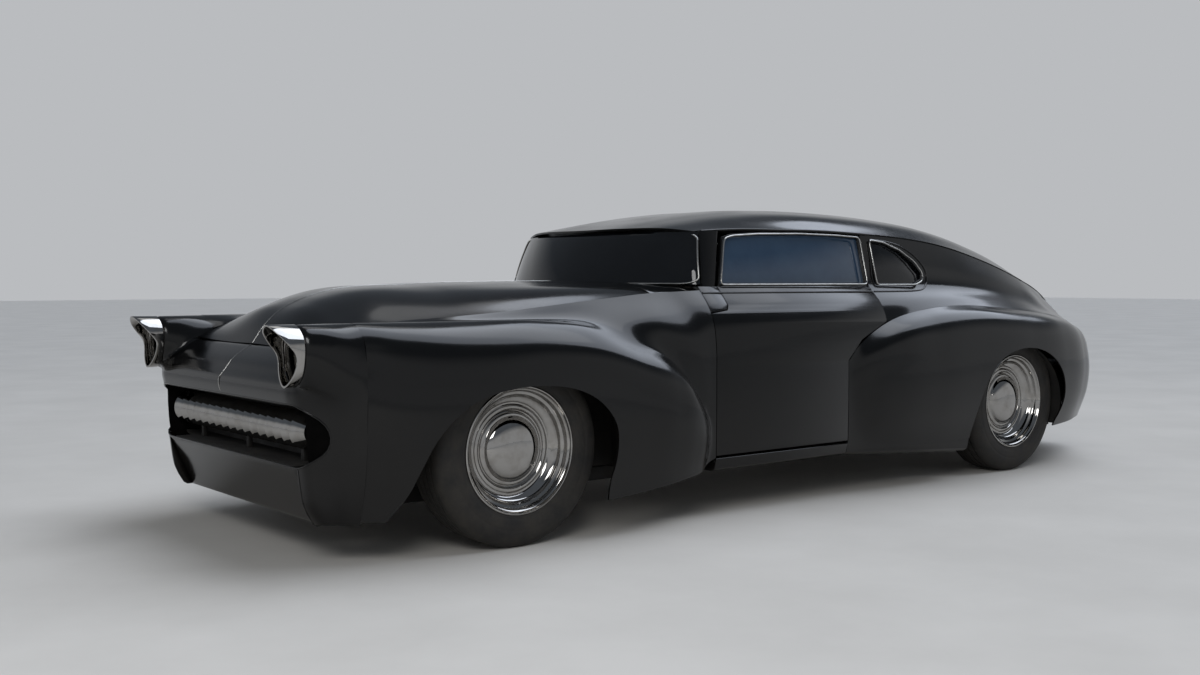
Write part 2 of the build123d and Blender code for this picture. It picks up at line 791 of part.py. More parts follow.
def rim(axle_x, side):
    """One turned wheel: barrel and lips, deep stepped face, and a domed cap over the spindle's bore."""
    lip = rim_lip_radius
    edge = rim_half_width
    bore = spindle_radius + bore_play
    barrel = [(lip, edge), (lip, 91), (lip - 9, 84), (lip - 9, -84), (lip, -91), (lip, -edge), (228, 8 - edge), (228, 14)]
    back = [(176, 12), (140, 22), (bore, 22), (bore, spindle_reach), (0, spindle_reach)]
    face = [(0, 77), (60, 71), (112, 52), (138, 44), (146, 32), (206, 32), (232, 64), (240, edge)]
    profile = barrel + back + face
    return turned(profile, axle_x, side * wheel_centre_y, tyre_radius, side)


one_of_each = {
    "engine_lid": engine_lid, "boot_lid": boot_lid, "roof": roof, "rear_window": rear_window,
    "nose_panel": nose_panel, "front_pan": front_pan, "mouth_recess": mouth_recess, "ring_stack": ring_stack,
    "windscreen": windscreen, "cowl": cowl, "dashboard": dashboard, "firewall": firewall, "floor": floor,
    "cross_members": cross_members, "front_suspension": front_suspension, "rear_axle": rear_axle,
    "engine": engine, "inner_panels": inner_panels, "front_cushion": front_cushion,
    "front_backrest": front_backrest, "rear_cushion": rear_cushion, "rear_backrest": rear_backrest,
    "steering_column": steering_column, "steering_wheel": steering_wheel, "tail_panel": tail_panel,
}
pair_in_one = {
    "lamp_pods": lamp_pod, "lamp_rings": lamp_ring, "lamp_lenses": lamp_lens, "screen_pillars": screen_pillar,
    "rockers": rocker, "frame_rails": frame_rail, "exhaust_pipes": exhaust, "quarter_glass": quarter_glass,
    "quarter_window_trim": quarter_trim, "tail_sides": tail_side, "tail_lamps": tail_lamp,
}
one_each_side = {
    "front_wing": front_wing, "rear_wing": rear_wing, "quarter_panel": quarter_panel, "door": door,
    "door_glass": door_glass, "door_window_trim": door_window_trim, "knuckle": knuckle,
}


def save(shape, name):
    export_step(shape, "parts/" + name + ".step")


def main():
    os.makedirs("parts", exist_ok=True)
    for name, make in one_of_each.items():
        save(make(), name)
    for name, make in pair_in_one.items():
        save(both(make), name)
    for side, word in ((-1, "left"), (1, "right")):
        for name, make in one_each_side.items():
            save(make(side), name + "_" + word)
        for axle_x, end in ((front_axle_x, "front"), (rear_axle_x, "rear")):
            save(tyre(axle_x, side), "tyre_" + end + "_" + word)
            save(rim(axle_x, side), "rim_" + end + "_" + word)


main()
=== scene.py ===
# %% [markdown]
# # A low custom fastback, dressed in Blender
# The car arrives as plain solids that already stand in the right place. This script gives them their
# look: smooth black panels, chrome, tyres, glass and leather, then a pale floor, soft light and a camera.
# It starts by loading the frame and putting its solids on the bodies that move.

# %% Load the frame
import bmesh
import bpy
import json
from math import atan2, cos, hypot, pi, radians, sin
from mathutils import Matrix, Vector

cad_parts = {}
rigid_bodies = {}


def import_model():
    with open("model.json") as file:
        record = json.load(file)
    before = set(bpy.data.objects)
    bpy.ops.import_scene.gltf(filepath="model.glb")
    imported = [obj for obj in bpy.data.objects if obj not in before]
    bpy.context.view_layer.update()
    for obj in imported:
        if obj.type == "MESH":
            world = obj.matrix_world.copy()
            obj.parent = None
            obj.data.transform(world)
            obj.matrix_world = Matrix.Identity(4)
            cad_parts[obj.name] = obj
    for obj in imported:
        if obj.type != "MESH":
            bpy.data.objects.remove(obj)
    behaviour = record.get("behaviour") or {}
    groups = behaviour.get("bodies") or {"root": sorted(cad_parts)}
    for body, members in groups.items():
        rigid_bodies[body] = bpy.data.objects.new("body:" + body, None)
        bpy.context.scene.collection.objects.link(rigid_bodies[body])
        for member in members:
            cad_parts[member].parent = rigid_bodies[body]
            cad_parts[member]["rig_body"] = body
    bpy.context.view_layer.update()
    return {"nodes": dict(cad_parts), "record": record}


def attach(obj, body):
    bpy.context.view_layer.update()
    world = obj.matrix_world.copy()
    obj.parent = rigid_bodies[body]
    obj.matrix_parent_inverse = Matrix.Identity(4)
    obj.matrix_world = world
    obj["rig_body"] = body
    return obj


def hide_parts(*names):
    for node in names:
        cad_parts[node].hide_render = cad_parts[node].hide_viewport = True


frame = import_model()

MM = 0.001
front_axle_x, rear_axle_x = -1771.0, 1429.0
wheelbase = rear_axle_x - front_axle_x
tyre_radius = 372.0
sides = ((-1, "left"), (1, "right"))
nodes = frame["nodes"]
slot_of = {part["node"]: part["material_slot"] for part in frame["record"]["subparts"]}


# %% [markdown]
# Colours are written as they look on a screen, so one function turns each into the linear values that
# Blender's shaders work in, and one adds a node with its settings and its links. Almost every real surface
# is worn in patches, so a third function lays patches whose colour and gloss differ a little.

# %% Colour and node helpers
def linear(hex_colour):
    out = []
    for i in (0, 2, 4):
        c = int(hex_colour[i:i + 2], 16) / 255
        out.append(c / 12.92 if c <= 0.04045 else ((c + 0.055) / 1.055) ** 2.4)
    return (*out, 1.0)


def add(tree, kind, settings=None, links=None, feeds=None):
    """A node with its settings. Sockets are set, linked and fed onward by their name or number."""
    node = tree.nodes.new(kind)
    for key, value in (settings or {}).items():
        if isinstance(key, str) and hasattr(node, key):
            setattr(node, key, value)
        else:
            node.inputs[key].default_value = value
    for key, source in (links or {}).items():
        tree.links.new(source, node.inputs[key])
    for key, socket in (feeds or {}).items():
        tree.links.new(node.outputs[key], socket)
    return node


def start_finish(name, **shader):
    """A material with one Principled shader and its piece's own coordinates in metres."""
    material = bpy.data.materials.new(name)
    material.use_nodes = True
    tree = material.node_tree
    surface = tree.nodes["Principled BSDF"].inputs
    for key, value in shader.items():
        surface[key.replace("_", " ")].default_value = value
    place = add(tree, "ShaderNodeTexCoord").outputs["Object"]
    return material, tree, surface, place


def lay_patches(tree, surface, place, size_mm, tones, gloss, detail=3.0, roughness=0.5,
                tone_span=(0.35, 0.65), gloss_span=(0.3, 0.7)):
    """Patches about size_mm wide, over which the colour and the gloss slide between two values each."""
    blobs = add(tree, "ShaderNodeTexNoise",
                {"Scale": 1000.0 / size_mm, "Detail": detail, "Roughness": roughness}, {"Vector": place})
    share = add(tree, "ShaderNodeMapRange", {"From Min": tone_span[0], "From Max": tone_span[1]},
                {"Value": blobs.outputs["Fac"]})
    add(tree, "ShaderNodeMix", {"data_type": "RGBA", 6: linear(tones[0]), 7: linear(tones[1])},
        {"Factor": share.outputs["Result"]}, {2: surface["Base Color"]})
    add(tree, "ShaderNodeMapRange", {"From Min": gloss_span[0], "From Max": gloss_span[1],
                                     "To Min": gloss[0], "To Max": gloss[1]},
        {"Value": blobs.outputs["Fac"]}, {"Result": surface["Roughness"]})


# %% [markdown]
# ## Satin black lacquer
# The body is steel under black lacquer that was sprayed, flatted and polished only a little. It gives a
# deep black with broad, soft reflections. Real orange peel is about 2 mm wide, too fine to show from here,
# so it is drawn at 9 mm and very shallow. Road dust greys the paint a little, most of all low down, and
# the polish is uneven over a hand's width, which is where the roughness changes.

# %% Body paint
def make_body_paint():
    material, tree, surface, place = start_finish("satin_black_lacquer", Coat_Weight=0.1, Coat_Roughness=0.06,
                                                  Specular_IOR_Level=0.3)
    height = add(tree, "ShaderNodeSeparateXYZ", None, {"Vector": place}).outputs["Z"]
    low_down = add(tree, "ShaderNodeMapRange",
                   {"From Min": 0.7, "From Max": 0.15, "To Min": 0.0, "To Max": 0.55}, {"Value": height})
    blotches = add(tree, "ShaderNodeTexNoise", {"Scale": 1000.0 / 260, "Detail": 4.0, "Roughness": 0.5},
                   {"Vector": place}).outputs["Fac"]
    dust = add(tree, "ShaderNodeMath", {"operation": "MULTIPLY"},
               {0: low_down.outputs["Result"], 1: blotches})
    add(tree, "ShaderNodeMix", {"data_type": "RGBA", 6: linear("060606"), 7: linear("201C19")},
        {"Factor": dust.outputs[0]}, {2: surface["Base Color"]})
    add(tree, "ShaderNodeMapRange", {"From Min": 0.3, "From Max": 0.7, "To Min": 0.12, "To Max": 0.2},
        {"Value": blotches}, {"Result": surface["Roughness"]})
    peel = add(tree, "ShaderNodeTexNoise", {"Scale": 1000.0 / 9, "Detail": 1.0}, {"Vector": place})
    add(tree, "ShaderNodeBump", {"Strength": 0.25, "Distance": 0.05 * MM}, {"Height": peel.outputs["Fac"]},
        {"Normal": surface["Normal"]})
    return material


paint = make_body_paint()
print("material", paint.name)


# %% [markdown]
# ## Chrome plate and bright trim
# The wheels, lamp rings and grille rings are steel plated with chrome: a mirror, a touch warm, with a thin
# haze of polish smears. The window strips are polished stainless steel, a little greyer and softer. Both
# keep the metal's own default index and get their smears from a noise stretched over some centimetres.

# %% Chrome and stainless steel
def make_bright_metal(name, tones, gloss, smear_mm):
    material, tree, surface, place = start_finish(name, Metallic=1.0)
    lay_patches(tree, surface, place, smear_mm, tones, gloss, 5.0, 0.6, (0.45, 0.8))
    haze = add(tree, "ShaderNodeTexNoise", {"Scale": 6000.0 / smear_mm, "Detail": 2.0}, {"Vector": place})
    add(tree, "ShaderNodeBump", {"Strength": 0.15, "Distance": 0.03 * MM}, {"Height": haze.outputs["Fac"]},
        {"Normal": surface["Normal"]})
    return material


chrome = make_bright_metal("chrome_plate", ("A5A3A0", "8D8983"), (0.03, 0.08), 60.0)
stainless = make_bright_metal("polished_stainless_strip", ("B2B1AE", "8F8D89"), (0.12, 0.24), 25.0)
print("materials", chrome.name, stainless.name)


# %% [markdown]
# ## Glass
# The windows are tinted laminated glass, so the cabin behind is only just seen and the sky lies on top. The
# doors' glass lets less through, and its blue colour is a painted reflection of the sky. The lamp glasses
# are clear and fluted, with flutes 14 mm apart, and the tail lenses are moulded red acrylic with fine rings.
# Dust dulls all of them, in patches.

# %% Window, lamp and tail lamp glass
def make_window_glass(name, tones, transmission):
    material, tree, surface, place = start_finish(name, Transmission_Weight=transmission, IOR=1.5)
    lay_patches(tree, surface, place, 180.0, tones, (0.0, 0.05), 5.0, 0.65, gloss_span=(0.45, 0.75))
    return material


def make_lens(name, tones, flute_mm, transmission):
    material, tree, surface, place = start_finish(name, Transmission_Weight=transmission, IOR=1.49)
    lay_patches(tree, surface, place, 40.0, tones, (0.04, 0.04), 4.0)
    flutes = add(tree, "ShaderNodeTexWave", {"bands_direction": "Y", "Scale": 1000.0 / flute_mm / pi / 2,
                                             "Distortion": 0.0}, {"Vector": place})
    add(tree, "ShaderNodeBump", {"Strength": 0.6, "Distance": 1.2 * MM}, {"Height": flutes.outputs["Fac"]},
        {"Normal": surface["Normal"]})
    return material


window_glass = make_window_glass("tinted_window_glass", ("15171A", "1D1F22"), 0.6)
# The doors' glass lets little through, and its blue colour is a painted reflection of the sky.
door_glass_painted_sky = make_window_glass("door_glass_painted_sky_blue", ("2B3D52", "324559"), 0.1)
lamp_glass = make_lens("fluted_lamp_glass", ("8E8A82", "A19C92"), 14.0, 0.75)
red_acrylic = make_lens("red_lens_acrylic", ("8A0C10", "6E0A0C"), 6.0, 0.35)
print("materials", window_glass.name, door_glass_painted_sky.name, lamp_glass.name, red_acrylic.name)


# %% [markdown]
# ## Tyre rubber
# A tyre is moulded black rubber that weathers to a brownish grey, with dust in its low places. Its fine
# ribs and sipes run round the wheel, so they follow the piece's own UV map, which is laid when the tyre
# is spun: U counts the turns and V runs across the section from bead to bead.

# %% Tyre rubber
def make_rubber():
    material, tree, surface, place = start_finish("tyre_rubber", Specular_IOR_Level=0.35)
    lay_patches(tree, surface, place, 70.0, ("1E1D1C", "33302C"), (0.62, 0.85), 6.0, 0.65)
    uv = add(tree, "ShaderNodeUVMap", {"uv_map": "round_and_across"}).outputs["UV"]
    turns = add(tree, "ShaderNodeSeparateXYZ", None, {"Vector": uv}).outputs
    saw = add(tree, "ShaderNodeMath", {"operation": "MULTIPLY", 1: 96.0}, {0: turns["X"]})
    blade = add(tree, "ShaderNodeMath", {"operation": "PINGPONG", 1: 0.5}, {0: saw.outputs[0]})
    sipe = add(tree, "ShaderNodeMapRange", {"From Min": 0.0, "From Max": 0.08}, {"Value": blade.outputs[0]})
    middle = add(tree, "ShaderNodeMath", {"operation": "COMPARE", 1: 0.5, 2: 0.17}, {0: turns["Y"]})
    only_tread = add(tree, "ShaderNodeMix", {"data_type": "FLOAT", 2: 1.0},
                     {"Factor": middle.outputs[0], 3: sipe.outputs["Result"]})
    grit = add(tree, "ShaderNodeTexNoise", {"Scale": 1000.0 / 3, "Detail": 3.0}, {"Vector": place})
    both = add(tree, "ShaderNodeMath", {"operation": "MULTIPLY_ADD", 1: 0.25},
               {0: grit.outputs["Fac"], 2: only_tread.outputs[0]})
    add(tree, "ShaderNodeBump", {"Strength": 0.6, "Distance": 2.0 * MM}, {"Height": both.outputs[0]},
        {"Normal": surface["Normal"]})
    return material


rubber = make_rubber()
print("material", rubber.name)


# %% [markdown]
# ## Leather, carpet and the cabin's satin paint
# The seats are dark brown leather, whose grain is a net of creases around cells about 2 mm wide, drawn
# here at 5 mm so that it shows. The carpet is looped wool, drawn as 4 mm tufts. The dashboard is sprayed
# steel in a dark satin brown, and the steering wheel's rim is cast black plastic, worn smooth by hands.

# %% Cabin finishes
def make_leather():
    material, tree, surface, place = start_finish("brown_seat_leather", Sheen_Weight=0.12)
    lay_patches(tree, surface, place, 120.0, ("2B1B14", "4A3226"), (0.38, 0.58), 4.0)
    cells = add(tree, "ShaderNodeTexVoronoi", {"feature": "DISTANCE_TO_EDGE", "Scale": 200.0},
                {"Vector": place})
    creases = add(tree, "ShaderNodeMapRange", {"From Min": 0.0, "From Max": 0.12},
                  {"Value": cells.outputs["Distance"]})
    add(tree, "ShaderNodeBump", {"Strength": 0.5, "Distance": 0.5 * MM},
        {"Height": creases.outputs["Result"]}, {"Normal": surface["Normal"]})
    return material


def make_carpet():
    material, tree, surface, place = start_finish("looped_wool_carpet", Sheen_Weight=0.4, Sheen_Roughness=0.6)
    lay_patches(tree, surface, place, 90.0, ("1C1714", "2A231E"), (0.95, 0.95))
    tufts = add(tree, "ShaderNodeTexVoronoi", {"Scale": 250.0}, {"Vector": place})
    add(tree, "ShaderNodeBump", {"Strength": 0.8, "Distance": 2.5 * MM},
        {"Height": tufts.outputs["Distance"]}, {"Normal": surface["Normal"]})
    return material


def make_plain_coat(name, tones, gloss, blob_mm, grain_mm, grain_depth, **shader):
    """Paint or plastic: two near tones in blobs, uneven gloss and a fine relief."""
    material, tree, surface, place = start_finish(name, **shader)
    lay_patches(tree, surface, place, blob_mm, tones, gloss, 5.0, 0.6)
    grain = add(tree, "ShaderNodeTexNoise", {"Scale": 1000.0 / grain_mm, "Detail": 2.0}, {"Vector": place})
    add(tree, "ShaderNodeBump", {"Strength": 0.5, "Distance": grain_depth * MM},
        {"Height": grain.outputs["Fac"]}, {"Normal": surface["Normal"]})
    return material


leather = make_leather()
carpet = make_carpet()
dash_coat = make_plain_coat("satin_dashboard_paint", ("1D1713", "261E19"), (0.28, 0.4), 150.0, 7.0, 0.1)
rim_plastic = make_plain_coat("black_cast_plastic", ("100F0F", "1B1A19"), (0.2, 0.38), 30.0, 5.0, 0.1)
print("materials", leather.name, carpet.name, dash_coat.name, rim_plastic.name)


# %% [markdown]
# ## The underside
# Underneath, the frame and inner panels are brushed with thick black underseal, matt and lumpy, with road
# dust on it. The engine is cast iron with the sand's grain still in it, and the exhaust is aluminised
# steel pipe that heat has browned in bands. The ends of the mouth get a flat black that mirrors nothing:
# it is painted shade, so that they read as the dark hollow inside the mouth.

# %% Underside finishes
underseal = make_plain_coat("brushed_underseal", ("0E0E0E", "211E1A"), (0.6, 0.85), 90.0, 8.0, 1.2)
# Painted shade: a flat black that mirrors nothing, for the dark hollow at the mouth's ends.
painted_shade_black = make_plain_coat("mouth_end_painted_shade_coat", ("050505", "0B0A0A"), (0.75, 0.9), 60.0, 6.0, 0.3,
                             Specular_IOR_Level=0.03)
cast_iron = make_plain_coat("cast_iron", ("2E2D2C", "4A3A2E"), (0.5, 0.75), 60.0, 5.0, 0.8)
exhaust_steel = make_bright_metal("aluminised_steel_pipe", ("8C8880", "6B5440"), (0.28, 0.5), 120.0)
dial_face = make_plain_coat("cream_dial_enamel", ("CFC6AE", "BFB59C"), (0.3, 0.45), 40.0, 6.0, 0.05)
print("materials", underseal.name, painted_shade_black.name, cast_iron.name, exhaust_steel.name, dial_face.name)

# %% Every carried-over solid gets the finish of its slot
finish_of_slot = {
    "black_paint": paint, "chassis_black": underseal, "chrome": chrome, "bright_trim": stainless,
    "tinted_glass": window_glass, "lamp_glass": lamp_glass, "red_lens": red_acrylic, "seat_leather": leather,
    "tyre": rubber, "engine_iron": cast_iron, "exhaust_steel": exhaust_steel, "dash_paint": dash_coat,
    "wheel_rim_plastic": rim_plastic,
}
for name, node in nodes.items():
    wanted = finish_of_slot[slot_of[name]]
    if not node.material_slots:
        node.data.materials.append(wanted)
    for holder in node.material_slots:
        holder.material = wanted
print("finishes on", len(nodes), "solids")


# %% [markdown]
# ## The panels
# The black panels are what the car is all about: long, soft shapes with hardly a line between them.
# Each was beaten from sheet steel over a row of station boards, so it is described the same way here: a
# short table with one row a station, and each row a few points across the body. Smooth curves run through
# the points both ways. Subdivision of a rough cage would do it too, but the curves hold the real sizes.

# %% Station tables, in millimetres: a row is a station behind the front axle, then half widths and heights
hood_rows = [
    (-710, 769, 200, 767, 400, 770, 558, 777),
    (-661, 838, 200, 833, 400, 812, 559, 800),
    (-600, 893, 200, 890, 400, 855, 564, 822),
    (-526, 932, 205, 925, 405, 885, 572, 842),
    (-418, 967, 230, 958, 430, 912, 584, 858),
    (-50, 999, 290, 988, 520, 938, 640, 885),
    (400, 1010, 360, 1001, 620, 962, 690, 930),
    (742, 1012, 380, 1004, 620, 985, 705, 955),
]
wing_rows = [
    (-640, 564, 812, 606, 838, 700, 864, 775, 820, 808, 640, 752, 160),
    (-560, 573, 834, 616, 848, 710, 864, 805, 817, 850, 640, 802, 159),
    (-465, 584, 855, 628, 855, 722, 864, 832, 812, 882, 640, 838, 158),
    (-200, 625, 876, 668, 858, 760, 864, 874, 800, 922, 640, 878, 154),
    (100, 667, 900, 720, 862, 800, 860, 892, 792, 930, 640, 900, 151),
    (330, 692, 925, 758, 862, 832, 828, 900, 755, 929, 610, 900, 152),
    (541, 706, 945, 790, 850, 842, 760, 902, 690, 928, 540, 896, 166),
    (714, 713, 960, 810, 830, 832, 705, 896, 635, 926, 480, 890, 184),
    (830, 716, 965, 820, 800, 832, 620, 888, 560, 912, 420, 872, 198),
    (905, 718, 968, 822, 790, 832, 525, 872, 470, 886, 380, 850, 208),
    (965, 719, 970, 824, 785, 831, 440, 838, 410, 842, 350, 828, 240),
    (1008, 720, 972, 825, 780, 830, 440, 830, 400, 830, 350, 826, 258),
]
roof_rows = [
    (890, 1243, 290, 1238, 460, 1227, 594, 1209),
    (1100, 1287, 312, 1280, 490, 1262, 622, 1234),
    (1300, 1321, 332, 1311, 522, 1282, 634, 1246),
    (1580, 1352, 348, 1340, 545, 1298, 643, 1250),
    (1860, 1360.8, 360, 1350, 560, 1305, 648, 1251),
    (2165, 1359.5, 360, 1348, 555, 1302, 648, 1243),
    (2460, 1352, 350, 1338, 542, 1291, 642, 1230),
    (2790, 1327, 338, 1313, 520, 1266, 624, 1200),
    (3200, 1262, 312, 1248, 474, 1204, 584, 1132),
    (3560, 1162, 282, 1150, 440, 1114, 543, 1052),
    (3716, 1105, 270, 1094, 420, 1062, 520, 1012),
]
quarter_rows = [
    (2138, 649, 1236.8, 674, 1115, 704, 992, 776, 905, 819, 813),
    (2165, 649, 1235.8, 674, 1115, 704, 992, 776, 907, 818, 818),
    (2460, 643, 1222.8, 670, 1106, 702, 988, 772, 917, 806, 872),
    (2790, 625, 1192.8, 662, 1083, 699, 976, 764, 918, 796, 886),
    (3200, 585, 1124.8, 640, 1036, 683, 948, 740, 896, 784, 862),
    (3560, 544, 1044.8, 600, 972, 648, 905, 706, 862, 769, 830),
    (3716, 521, 1004.8, 580, 938, 632, 882, 686, 840, 748, 811),
    (3830, 496, 977.8, 552, 912, 605, 860, 662, 820, 728, 790),
    (3960, 468, 939.8, 520, 884, 572, 838, 624, 800, 684, 762),
]
rear_wing_rows = [
    (1861, 828.5, 640, 830, 570, 830, 480, 830, 380, 828, 262),
    (1876, 828.7, 652, 830.5, 578, 830.6, 482, 830.3, 380, 828, 261),
    (1910, 829, 689, 838, 612, 836, 500, 833, 380, 828.5, 258),
    (1960, 829, 726, 854, 660, 854, 520, 845, 380, 830, 250),
    (2050, 826, 774, 868, 722, 884, 556, 874, 390, 837, 236),
    (2165, 818.5, 817, 874, 772, 906, 580, 898, 400, 846, 224),
    (2460, 806.5, 871, 868, 832, 926, 620, 922, 420, 862, 214),
    (2790, 796.5, 885, 866, 850, 929, 650, 926, 440, 868, 214),
    (3200, 784.5, 861, 860, 828, 929, 640, 924, 440, 868, 214),
    (3560, 769.5, 829, 846, 790, 908, 610, 900, 420, 846, 222),
    (3830, 728.5, 789, 790, 750, 850, 580, 842, 410, 786, 236),
    (4040, 664, 726, 696, 700, 742, 560, 736, 410, 690, 260),
    (4118, 618, 684, 634, 650, 656, 540, 654, 430, 636, 300),
    (4146, 592, 668, 604, 638, 610, 540, 612, 432, 600, 308),
]
boot_rows = [
    (3726, 1102, 250, 1094, 400, 1064, 500, 1018),
    (3900, 1047, 240, 1040, 380, 1012, 470, 972),
    (4130, 955, 220, 948, 330, 926, 410, 892),
    (4320, 846, 190, 840, 280, 822, 340, 798),
    (4425, 742, 160, 738, 240, 726, 290, 712),
]
tail_rows = [
    (3960, 466, 921, 540, 850, 600, 760, 632, 640, 640, 450, 626, 230),
    (4130, 418, 884, 500, 806, 560, 715, 600, 600, 612, 430, 596, 226),
    (4320, 350, 788, 420, 725, 468, 645, 500, 550, 508, 400, 494, 222),
    (4440, 298, 696, 344, 648, 372, 590, 388, 510, 390, 380, 380, 222),
]
nose_rows = [
    (130, -745, 602, -690, 690, 739),
    (150, -760, 602, -700, 694, 745),
    (188, -783, 604, -712, 700, 757),
    (226, -799, 605, -720, 704, 768),
    (270, -807, 605, -724, 709, 779),
    (351, -818, 605, -728, 716, 794),
    (387, -825, 605, -733, 719, 799),
    (480, -834, 603, -738, 724, 805),
    (583, -840, 600, -750, 730, 809),
    (620, -850, 596, -772, 734, 810),
    (645, -846, 590, -782, 737, 810),
    (673, -822, 580, -784, 736, 808),
    (706, -798, 572, -780, 732, 806),
    (739, -756, 562, -746, 728, 802),
    (766, -714, 556, -706, 716, 796),
]
door_knots = [(828, 266), (830, 400), (830, 600), (827, 740), (806, 850), (772, 913), (727, 966), (708, 988)]
print("tables", len(wing_rows), "stations on each front wing")


# %% Smooth curves through the stations
def slopes(xs, ys):
    """Slope of a smooth curve at each of its points."""
    n = len(xs)
    steps = [(ys[i + 1] - ys[i]) / (xs[i + 1] - xs[i]) for i in range(n - 1)]
    out = [steps[0]]
    for i in range(1, n - 1):
        h0, h1 = xs[i] - xs[i - 1], xs[i + 1] - xs[i]
        out.append((steps[i - 1] * h1 + steps[i] * h0) / (h0 + h1))
    out.append(steps[-1])
    return out


def hermite(ends, values, rates, x):
    """The cubic between two ends that has their values and their slopes."""
    h = ends[1] - ends[0]
    t = (x - ends[0]) / h
    first = (2 * t**3 - 3 * t**2 + 1) * values[0] + (t**3 - 2 * t**2 + t) * h * rates[0]
    return first + (3 * t**2 - 2 * t**3) * values[1] + (t**3 - t**2) * h * rates[1]


class Stations:
    """The rows of a table, with smooth values between them."""

    def __init__(self, rows):
        self.xs = [row[0] for row in rows]
        self.columns = list(zip(*[row[1:] for row in rows]))
        self.rates = [slopes(self.xs, column) for column in self.columns]

    def at(self, x):
        i = 0
        while i < len(self.xs) - 2 and x > self.xs[i + 1]:
            i += 1
        pair = slice(i, i + 2)
        return [hermite(self.xs[pair], column[pair], rate[pair], x)
                for column, rate in zip(self.columns, self.rates)]


def in_pairs(row, start=0):
    return [(row[i], row[i + 1]) for i in range(start, len(row), 2)]


def path_lengths(knots):
    """How far each knot lies along the line through them."""
    lengths = [0.0]
    for a, b in zip(knots, knots[1:]):
        lengths.append(lengths[-1] + max(hypot(b[0] - a[0], b[1] - a[1]), 1e-6))
    return lengths


def chain(knots, steps, crease=0, sharp=0.0):
    """Points on the smooth curve through the knots, steps[i] of them to stretch i.
    At the knot numbered crease the curve may turn: not at all at sharp 0, freely at sharp 1."""
    lengths = path_lengths(knots)
    out = []
    for axis in (0, 1):
        values = [k[axis] for k in knots]
        coming = slopes(lengths, values)
        going = list(coming)
        if crease:
            before, after = [(values[k + 1] - values[k]) / (lengths[k + 1] - lengths[k])
                             for k in (crease - 1, crease)]
            coming[crease] += (before - coming[crease]) * sharp
            going[crease] += (after - going[crease]) * sharp
        line = []
        for i, count in enumerate(steps):
            ends, pair = lengths[i:i + 2], values[i:i + 2]
            for k in range(count):
                x = ends[0] + (ends[1] - ends[0]) * k / count
                line.append(hermite(ends, pair, (going[i], coming[i + 1]), x))
        out.append(line + [values[-1]])
    return list(zip(*out))


def crossing(line, level, axis):
    """The other coordinate of a line of points where it first comes to a level, or at its nearer end."""
    span = [point[axis] for point in line]
    level = min(max(level, min(span)), max(span))
    for a, b in zip(line, line[1:]):
        if min(a[axis], b[axis]) <= level <= max(a[axis], b[axis]) and a[axis] != b[axis]:
            return a[1 - axis] + (b[1 - axis] - a[1 - axis]) * (level - a[axis]) / (b[axis] - a[axis])


def even_steps(xs, step):
    """Stations between the rows, close to step apart, with every row's own station kept."""
    out = []
    for a, b in zip(xs, xs[1:]):
        count = max(1, round((b - a) / step))
        out += [a + (b - a) * k / count for k in range(count)]
    return out + [xs[-1]]


def through(points, steps=8, closed=False):
    """A smooth line in space through the points, with steps pieces to each stretch."""
    n = len(points)
    out = []
    for i in range(n if closed else n - 1):
        around = [points[(i + k) % n] if closed else points[min(max(i + k, 0), n - 1)] for k in (-1, 0, 1, 2)]
        a, b, c, d = [Vector(p) for p in around]
        for k in range(steps):
            t = k / steps
            out.append(0.5 * (2 * b + (c - a) * t + (2 * a - 5 * b + 4 * c - d) * t * t
                              + (3 * b - a - 3 * c + d) * t**3))
    return out if closed else out + [Vector(points[-1])]


print("a wing's section has", len(chain(in_pairs(wing_rows[3], 1), (10, 10, 12, 16, 16))), "points")


# %% [markdown]
# A flat grid is made by an operator and its corners are moved onto the curves. A Solidify step then gives
# the sheet its wall, whose inner face gets a second finish, and openings are cut with closed cutters.

# %% Grids laid over rows of points
def laid_over(rows, closed=False):
    """A grid whose corners lie on rows of points in millimetres. A closed one joins up round a solid."""
    n, m = len(rows), len(rows[0])
    bm = bmesh.new()
    bmesh.ops.create_grid(bm, x_segments=n - 1, y_segments=m - 1, size=1.0)
    for vert in bm.verts:
        i = round((vert.co.x + 1) / 2 * (n - 1))
        j = round((vert.co.y + 1) / 2 * (m - 1))
        vert.co = Vector(rows[i][j]) * MM
    if closed:
        bmesh.ops.remove_doubles(bm, verts=bm.verts, dist=1e-6)
        bmesh.ops.holes_fill(bm, edges=[edge for edge in bm.edges if edge.is_boundary])
        bmesh.ops.recalc_face_normals(bm, faces=bm.faces)
    return bm


def solid_over(rings):
    """A closed solid over rings of points."""
    return laid_over([ring + ring[:1] for ring in rings], closed=True)


def sheet_over(rows, inside, depth):
    """A sheet that faces away from a point inside. Its wall's inner faces take the second finish."""
    bm = laid_over(rows)
    bm.normal_update()
    heart = Vector(inside) * MM
    total = sum(face.normal.dot(face.calc_center_median() - heart) * face.calc_area() for face in bm.faces)
    if total < 0:
        bmesh.ops.reverse_faces(bm, faces=bm.faces)
    outer = set(bm.verts)
    bmesh.ops.solidify(bm, geom=list(bm.faces), thickness=depth * MM)
    for face in bm.faces:
        if not any(vert in outer for vert in face.verts):
            face.material_index = 1
    return bm


# %% From a bmesh to a piece of the scene
def as_mesh(name, bm):
    mesh = bpy.data.meshes.new(name)
    bm.to_mesh(mesh)
    bm.free()
    return mesh


def as_bmesh(mesh):
    bm = bmesh.new()
    bm.from_mesh(mesh)
    return bm


def put_in_scene(name, data):
    obj = bpy.data.objects.new(name, data)
    bpy.context.scene.collection.objects.link(obj)
    return obj


def evaluated_mesh(obj):
    """A new mesh of the object with its modifiers, or its bevel if it is a curve."""
    bpy.context.view_layer.update()
    return bpy.data.meshes.new_from_object(obj.evaluated_get(bpy.context.evaluated_depsgraph_get()))


def settle(obj):
    """The piece's modifiers become part of its mesh."""
    result = evaluated_mesh(obj)
    obj.modifiers.clear()
    old = obj.data
    name = old.name
    obj.data = result
    bpy.data.meshes.remove(old)
    result.name = name


